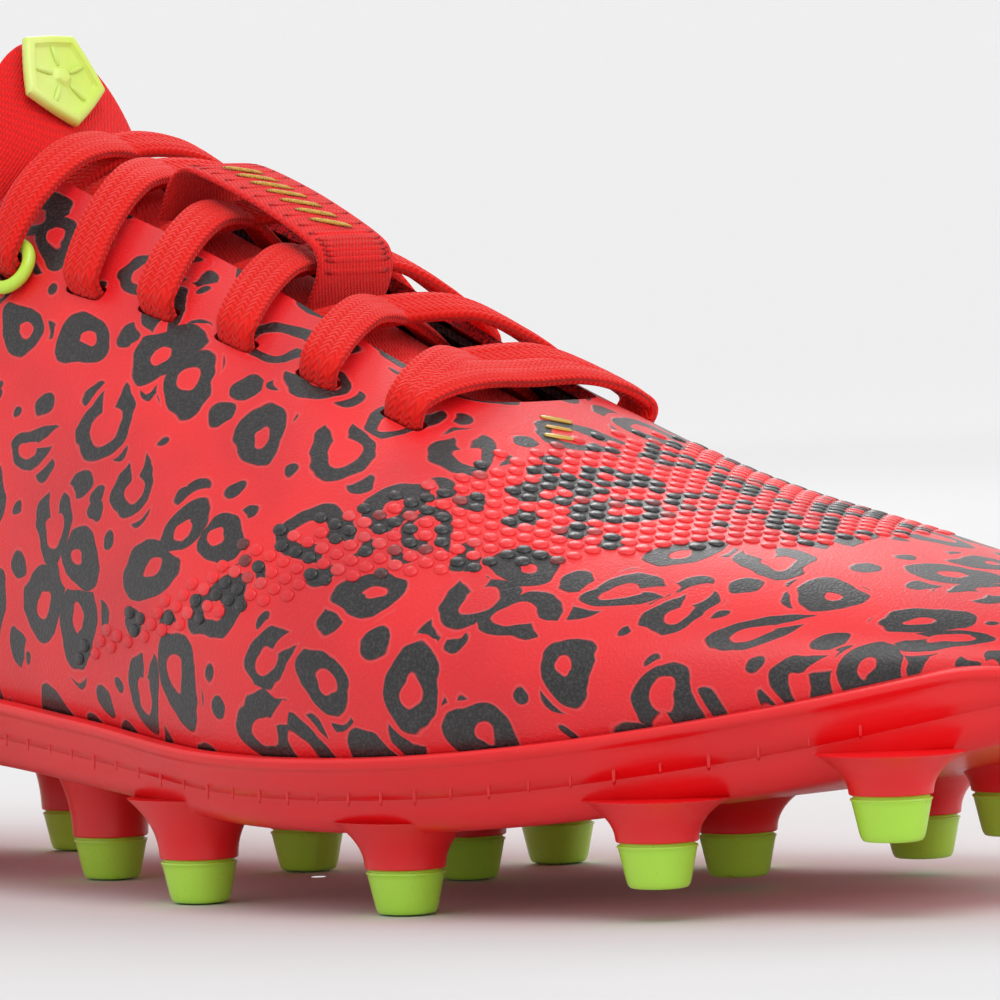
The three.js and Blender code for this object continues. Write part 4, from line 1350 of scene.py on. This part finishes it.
def curved(stations, count):
    """A smooth run through stations of (middle, width direction, share)."""
    out = []
    n = len(stations)
    for i in range(n - 1):
        p = [stations[min(max(i + k, 0), n - 1)] for k in (-1, 0, 1, 2)]
        for j in range(count):
            t = j / count
            c = (-0.5 * t + t * t - 0.5 * t ** 3, 1 - 2.5 * t * t + 1.5 * t ** 3,
                 0.5 * t + 2 * t * t - 1.5 * t ** 3, -0.5 * t * t + 0.5 * t ** 3)
            at = sum((q[0] * k for q, k in zip(p, c)), Vector())
            wide = sum((q[1] * k for q, k in zip(p, c)), Vector()).normalized()
            out.append((at, wide, p[1][2] + (p[2][2] - p[1][2]) * t))
    out.append(stations[-1])
    return out


def ribbon(stations, width, thick, ribs, depth, count=40):
    """Rings and maps of a flat band with ribs along it."""
    rings, uvs, gone = [], [], 0.0
    for i, (at, wide, share) in enumerate(stations):
        before, after = stations[max(i - 1, 0)][0], stations[min(i + 1, len(stations) - 1)][0]
        ahead = (after - before).normalized()
        w = (wide - ahead * wide.dot(ahead)).normalized()
        n = ahead.cross(w)
        if i:
            gone += (at - stations[i - 1][0]).length
        ring, row = [], []
        for c, s in circle(count):
            across = math.copysign(abs(c) ** 0.7, c)
            swell = 1 - depth + depth * abs(math.cos(across * math.pi * ribs / 2))
            ring.append(at + w * (share * width * across / 2)
                        + n * (thick / 2 / share ** 0.5 * math.copysign(abs(s) ** 0.55, s) * swell))
            row.append((gone, across * width / 2 + (20 if s < 0 else 0)))
        rings.append(ring)
        uvs.append(row)
    return rings, uvs


def make_lace():
    s = sizes()
    apart = row_x(1) - row_x(0)
    runs = [strand(0, -1, 0, False)]
    for row in range(ROWS):
        ahead, short = (-TOP_RUN, EYELET_IN / 2) if row == ROWS - 1 else (apart, 0)
        runs += [strand(row, side, ahead, True, short) for side in (-1, 1)]
    pieces = []
    for i, stations in enumerate(runs):
        rings, uvs = ribbon(curved(stations, 9), s.lace_width * 1000, LACE_THICK * 1.12, 4, 0.2)
        pieces.append(lofted("strand_%d" % i, rings, material("braid"), uvs, "braid", sharp=70))
    made = joined("cleat_lace", pieces)
    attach(made, ROOT)
    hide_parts("lace")


BAR_PITCH = 2.7


def make_keeper():
    """The webbing loop, with its ribs and seven plain slanted bars."""
    back, front = row_x(KEEPER_ROWS[1]), row_x(KEEPER_ROWS[0])
    foot, shoulder = -UNDER_SKIN + GAP, KEEPER_HEIGHT - 1.2

    def station(x, h):
        return skin_point(x, 0, h), Vector((0, 1, 0)), 1.0

    way = [(back, foot), (back, -0.5), (back + 1.0, shoulder), (back + 4, KEEPER_HEIGHT),
           ((back + front) / 2, KEEPER_HEIGHT + 0.4), (front - 4, KEEPER_HEIGHT),
           (front - 1.0, shoulder), (front, -0.5), (front, foot)]
    stations = curved([station(x, h) for x, h in way], 8)
    rings, _ = ribbon(stations, KEEPER_WIDTH, KEEPER_THICK, 1, 0.0, 36)
    made = lofted("keeper_band", rings, material("webbing"), sharp=70)
    ribs, bars = [], []
    for i in range(10, len(stations) - 9, 2):
        at, wide, _ = stations[i]
        ahead = (stations[i + 1][0] - stations[i - 1][0]).normalized()
        out = ahead.cross(wide).normalized()
        if out.z < 0 and 10 < i < len(stations) - 11:
            out.negate()
        ribs.append((at + out * 0.52, out, wide))
    for k in range(-3, 4):
        x = (back + front) / 2 + k * BAR_PITCH
        p = skin_point(x, 0, KEEPER_HEIGHT + 1.02 + 0.2 * (1 - abs(k) / 3))
        out = (skin_point(x, 0, 5) - skin_point(x, 0, 4)).normalized()
        way = (skin_along(x, 0, 0) * 0.5 + Vector((0, 1, 0))).normalized()
        bars.append((p - out * 0.1, out, way))
    ribs = stamped("keeper_ribs", ribs, dome_stamp("rib", 8, 4.0, 2), (KEEPER_WIDTH - 1.6, 0.95, 0.16),
                   material("webbing"))
    bars = stamped("keeper_bars", bars, dome_stamp("bar", 10, 3.0, 2), (6.4, 1.05, 0.34),
                   material("gold_thread"), 0.05, 2)
    made = joined("cleat_keeper", [made, ribs, bars])
    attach(made, ROOT)
    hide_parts("lace_keeper")


def make_rings():
    for side, name in ((-1, "lateral"), (1, "medial")):
        at, along, across, out = eyelet(ROWS - 1, side)
        rings = []
        for c, s in circle(64):
            way = along * c + across * s
            rings.append([at + way * (RING_RADIUS + RING_WIRE * ca)
                          + out * (RING_WIRE + GAP + RING_WIRE * 0.92 * sa) for ca, sa in circle(20)])
        rings.append(rings[0])
        made = lofted("cleat_ring_" + name, rings, material("ring"), closed_ends=False, sharp=70)
        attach(made, ROOT)
        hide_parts("eyelet_ring_" + name)


def finish_inner_pieces():
    """The carried-over pieces get their finish on their own slots."""
    for node, finish in (("heel_counter", "stiff"), ("toe_puff", "stiff"), ("lasting_board", "board"),
                         ("eyestay_lateral", "tape"), ("eyestay_medial", "tape")):
        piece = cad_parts[node]
        if not piece.material_slots:
            piece.data.materials.append(None)
        for slot in piece.material_slots:
            slot.material = material(finish)


# ------------------------------------------------------------------ stage


def area_light(name, place_at, aim, size, power):
    """A round light at a place, turned towards another."""
    data = bpy.data.lights.new(name, "AREA")
    data.shape, data.size, data.energy = "DISK", size, power
    made = linked(name, data)
    made.location = place_at
    made.rotation_euler = (Vector(aim) - Vector(place_at)).to_track_quat("-Z", "Y").to_euler()
    return made


FLOOR_LEVEL = -0.0002
CAMERA_AT, CAMERA_WAY = (0.7472, -0.7275, 0.0861), (-0.698, 0.715, -0.035)
CAMERA_ROLL, CAMERA_LENS = -0.04, 279.1


def backdrop_profile():
    """(radius, height) in metres of a floor that curves up into a wall all round."""
    flat, bend, wall = 5.0, 2.5, 1.2
    curve = [(flat + bend * math.sin(a), bend * (1 - math.cos(a)) * 0.5 + FLOOR_LEVEL)
             for a in (math.pi / 2 * k / 16 for k in range(17))]
    return [*((r, FLOOR_LEVEL) for r in (0.001, 0.5, 2.0)), *curve, (flat + bend, curve[-1][1] + wall)]


def make_backdrop():
    """A pale floor, lit a little by itself far from the shoe, where the lights don't reach."""
    look = Look("studio_floor", Roughness=0.9, Specular_IOR_Level=0.1)
    grain = look.noise(look.place(), 30.0, 2.0)
    reach = look.vector("LENGTH", look.vector("MULTIPLY", look.place(), (1, 1, 0)))
    near = look.mix(grain, paint(217, 217, 217), paint(213, 213, 213))
    look.set(Base_Color=look.mix(look.step(reach, 0.7, 2.0), near, paint(236, 236, 236)),
             Emission_Color=paint(240, 240, 240),
             Emission_Strength=look.step(reach, 0.8, 2.2, 0.0, 0.21))
    rings = [[Vector((r * c, r * s, z)) * 1000 for c, s in circle(96)] for r, z in backdrop_profile()]
    floor = lofted("studio_floor", rings, look.material, closed_ends=False)
    for vertex in floor.data.vertices:
        vertex.co -= SHIFT
    floor.data.flip_normals()
    return floor


def make_camera():
    """The camera, fitted to the view from the outer side of the forefoot."""
    forward = Vector(CAMERA_WAY).normalized()
    right = forward.cross(Vector((0, 0, 1))).normalized()
    up = right.cross(forward)
    c, s = math.cos(CAMERA_ROLL), math.sin(CAMERA_ROLL)
    data = bpy.data.cameras.new("camera")
    data.lens, data.sensor_width, data.clip_start = CAMERA_LENS, 36, 0.05
    camera = linked("camera", data)
    axes = (right * c + up * s, up * c - right * s, -forward, Vector(CAMERA_AT))
    camera.matrix_world = Matrix((*zip(*axes), (0, 0, 0, 1)))
    return camera


def make_stage():
    scene = bpy.context.scene
    scene.view_settings.view_transform = "Standard"
    floor = make_backdrop()
    bpy.context.view_layer.update()
    scene.world = bpy.data.worlds.new("studio")
    scene.world.use_nodes = True
    background = scene.world.node_tree.nodes["Background"]
    background.inputs[0].default_value = paint(244, 244, 245)
    background.inputs[1].default_value = 0.86
    lights = [area_light("key", (0.55, -0.5, 1.3), (0, 0, 0.04), 0.9, 6.5),
              area_light("fill", (1.1, 0.5, 0.7), (0, 0, 0.05), 0.8, 2.2),
              area_light("rim", (-0.9, 0.7, 0.9), (0, 0, 0.06), 0.7, 6.0)]
    scene.camera = make_camera()


# ------------------------------------------------------------------ add-on


def colour_property(name, description, colour):
    return bpy.props.FloatVectorProperty(name=name, description=description, subtype="COLOR", size=4,
                                         min=0, max=1, default=colour)


def length_property(name, description, default):
    return bpy.props.FloatProperty(name=name, description=description, default=default, min=0.0002,
                                   unit="LENGTH", subtype="DISTANCE")


class CleatSizes(bpy.types.PropertyGroup):
    """Sizes of the patterns and the trim."""

    rosette: length_property("Rosette pitch", "Distance between the middles of the rosettes", 0.0128)
    scale_pitch: length_property("Scale pitch", "Distance between raised scales", 0.0026)
    lace_width: length_property("Lace width", "Width of the flat lace", 0.0062)


class CleatColours(bpy.types.PropertyGroup):
    """Colours of the finishes."""

    upper_red: colour_property("Upper red", "The printed skin", paint(245, 22, 28))
    upper_deep_red: colour_property("Deep red", "Shaded parts of cloth and skin", paint(214, 10, 26))
    print_black: colour_property("Print black", "The rosettes", paint(17, 16, 18))
    pale: colour_property("Pale speckle", "Speckle and rim of the print", paint(225, 205, 205))
    tongue_red: colour_property("Tongue red", "Tongue, roll and lining", paint(248, 26, 22))
    lace_red: colour_property("Lace red", "The lace and webbing", paint(248, 34, 22))
    lace_deep_red: colour_property("Deep lace red", "Shaded parts of the braid", paint(206, 8, 10))
    sole_red: colour_property("Sole red", "The stud plate", paint(240, 16, 24))
    sole_deep_red: colour_property("Deep sole red", "Clouds in the stud plate", paint(226, 8, 18))
    stud_green: colour_property("Stud green", "The stud tips", paint(184, 240, 74))
    stud_deep_green: colour_property("Deep stud green", "Clouds in the stud tips", paint(172, 232, 68))
    ring_green: colour_property("Ring green", "The eyelet rings and the badge", paint(206, 232, 76))
    pale_green: colour_property("Pale green", "Clouds in the badge", paint(226, 240, 150))
    gold: colour_property("Gold", "Stitches on the keeper", paint(226, 188, 84))
    gold_deep: colour_property("Deep gold", "Shaded parts of those stitches", paint(190, 140, 52))
    tape_grey: colour_property("Tape grey", "Clouds in the eyelet tape", paint(70, 66, 68))
    board: colour_property("Board", "Stiffeners and lasting board", paint(214, 205, 188))
    board_deep: colour_property("Deep board", "Fibres in the board", paint(178, 164, 140))


class CLEAT_OT_outsole(bpy.types.Operator):
    """Make the stud plate and its sidewall"""

    bl_idname = "cleat.outsole"
    bl_label = "Sole"

    def execute(self, context):
        make_outsole()
        return {"FINISHED"}


class CLEAT_OT_studs(bpy.types.Operator):
    """Make the sixteen stud tips"""

    bl_idname = "cleat.studs"
    bl_label = "Stud tips"

    def execute(self, context):
        make_studs()
        return {"FINISHED"}


class CLEAT_OT_upper(bpy.types.Operator):
    """Make the printed upper with its slits and scales"""

    bl_idname = "cleat.upper"
    bl_label = "Upper"

    def execute(self, context):
        make_upper()
        return {"FINISHED"}


class CLEAT_OT_panel(bpy.types.Operator):
    """Make the knitted panel round the ankle"""

    bl_idname = "cleat.panel"
    bl_label = "Ankle panel"

    def execute(self, context):
        make_panel()
        return {"FINISHED"}


class CLEAT_OT_roll(bpy.types.Operator):
    """Make the padded roll of the collar"""

    bl_idname = "cleat.roll"
    bl_label = "Collar roll"

    def execute(self, context):
        make_roll()
        return {"FINISHED"}


class CLEAT_OT_lining(bpy.types.Operator):
    """Make the lining"""

    bl_idname = "cleat.lining"
    bl_label = "Lining"

    def execute(self, context):
        make_lining()
        return {"FINISHED"}


class CLEAT_OT_sockliner(bpy.types.Operator):
    """Make the loose sockliner"""

    bl_idname = "cleat.sockliner"
    bl_label = "Sockliner"

    def execute(self, context):
        make_sockliner()
        return {"FINISHED"}


class CLEAT_OT_tongue(bpy.types.Operator):
    """Make the tongue, its top turned up at the fold"""

    bl_idname = "cleat.tongue"
    bl_label = "Tongue"

    def execute(self, context):
        make_tongue()
        return {"FINISHED"}


class CLEAT_OT_badge(bpy.types.Operator):
    """Make the five-sided badge"""

    bl_idname = "cleat.badge"
    bl_label = "Badge"

    def execute(self, context):
        make_badge()
        return {"FINISHED"}


class CLEAT_OT_lace(bpy.types.Operator):
    """Make the threaded lace"""

    bl_idname = "cleat.lace"
    bl_label = "Lace"

    def execute(self, context):
        make_lace()
        return {"FINISHED"}


class CLEAT_OT_keeper(bpy.types.Operator):
    """Make the webbing loop"""

    bl_idname = "cleat.keeper"
    bl_label = "Lace keeper"

    def execute(self, context):
        make_keeper()
        return {"FINISHED"}


class CLEAT_OT_rings(bpy.types.Operator):
    """Make the moulded rings"""

    bl_idname = "cleat.rings"
    bl_label = "Eyelet rings"

    def execute(self, context):
        make_rings()
        return {"FINISHED"}


class CLEAT_OT_inner(bpy.types.Operator):
    """Finish the stiffeners, the board and the tapes"""

    bl_idname = "cleat.inner"
    bl_label = "Inner pieces"

    def execute(self, context):
        finish_inner_pieces()
        return {"FINISHED"}


class CLEAT_OT_stage(bpy.types.Operator):
    """Make the floor, the lights and the camera"""

    bl_idname = "cleat.stage"
    bl_label = "Stage"

    def execute(self, context):
        make_stage()
        return {"FINISHED"}


OPERATORS = [
    CLEAT_OT_outsole, CLEAT_OT_studs, CLEAT_OT_upper, CLEAT_OT_panel, CLEAT_OT_roll,
    CLEAT_OT_lining, CLEAT_OT_sockliner, CLEAT_OT_tongue, CLEAT_OT_badge, CLEAT_OT_lace,
    CLEAT_OT_keeper, CLEAT_OT_rings, CLEAT_OT_inner, CLEAT_OT_stage,
]


class CLEAT_PT_panel(bpy.types.Panel):
    """Lists the sizes, the colours and the pieces"""

    bl_label = "Soccer cleat"
    bl_idname = "CLEAT_PT_panel"
    bl_space_type = "VIEW_3D"
    bl_region_type = "UI"
    bl_category = "Cleat"

    def draw(self, context):
        for group in (context.scene.cleat_sizes, context.scene.cleat_colours):
            for key in group.bl_rna.properties.keys():
                if key not in ("rna_type", "name"):
                    self.layout.prop(group, key)
        for made in OPERATORS:
            self.layout.operator(made.bl_idname)


CLASSES = [CleatSizes, CleatColours, *OPERATORS, CLEAT_PT_panel]


def register():
    for made in CLASSES:
        bpy.utils.register_class(made)
    bpy.types.Scene.cleat_sizes = bpy.props.PointerProperty(type=CleatSizes)
    bpy.types.Scene.cleat_colours = bpy.props.PointerProperty(type=CleatColours)


def unregister():
    del bpy.types.Scene.cleat_colours
    del bpy.types.Scene.cleat_sizes
    for made in reversed(CLASSES):
        bpy.utils.unregister_class(made)


def main():
    register()
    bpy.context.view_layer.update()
    for made in OPERATORS:
        getattr(bpy.ops.cleat, made.bl_idname.split(".")[1])()


if __name__ == "__main__":
    main()
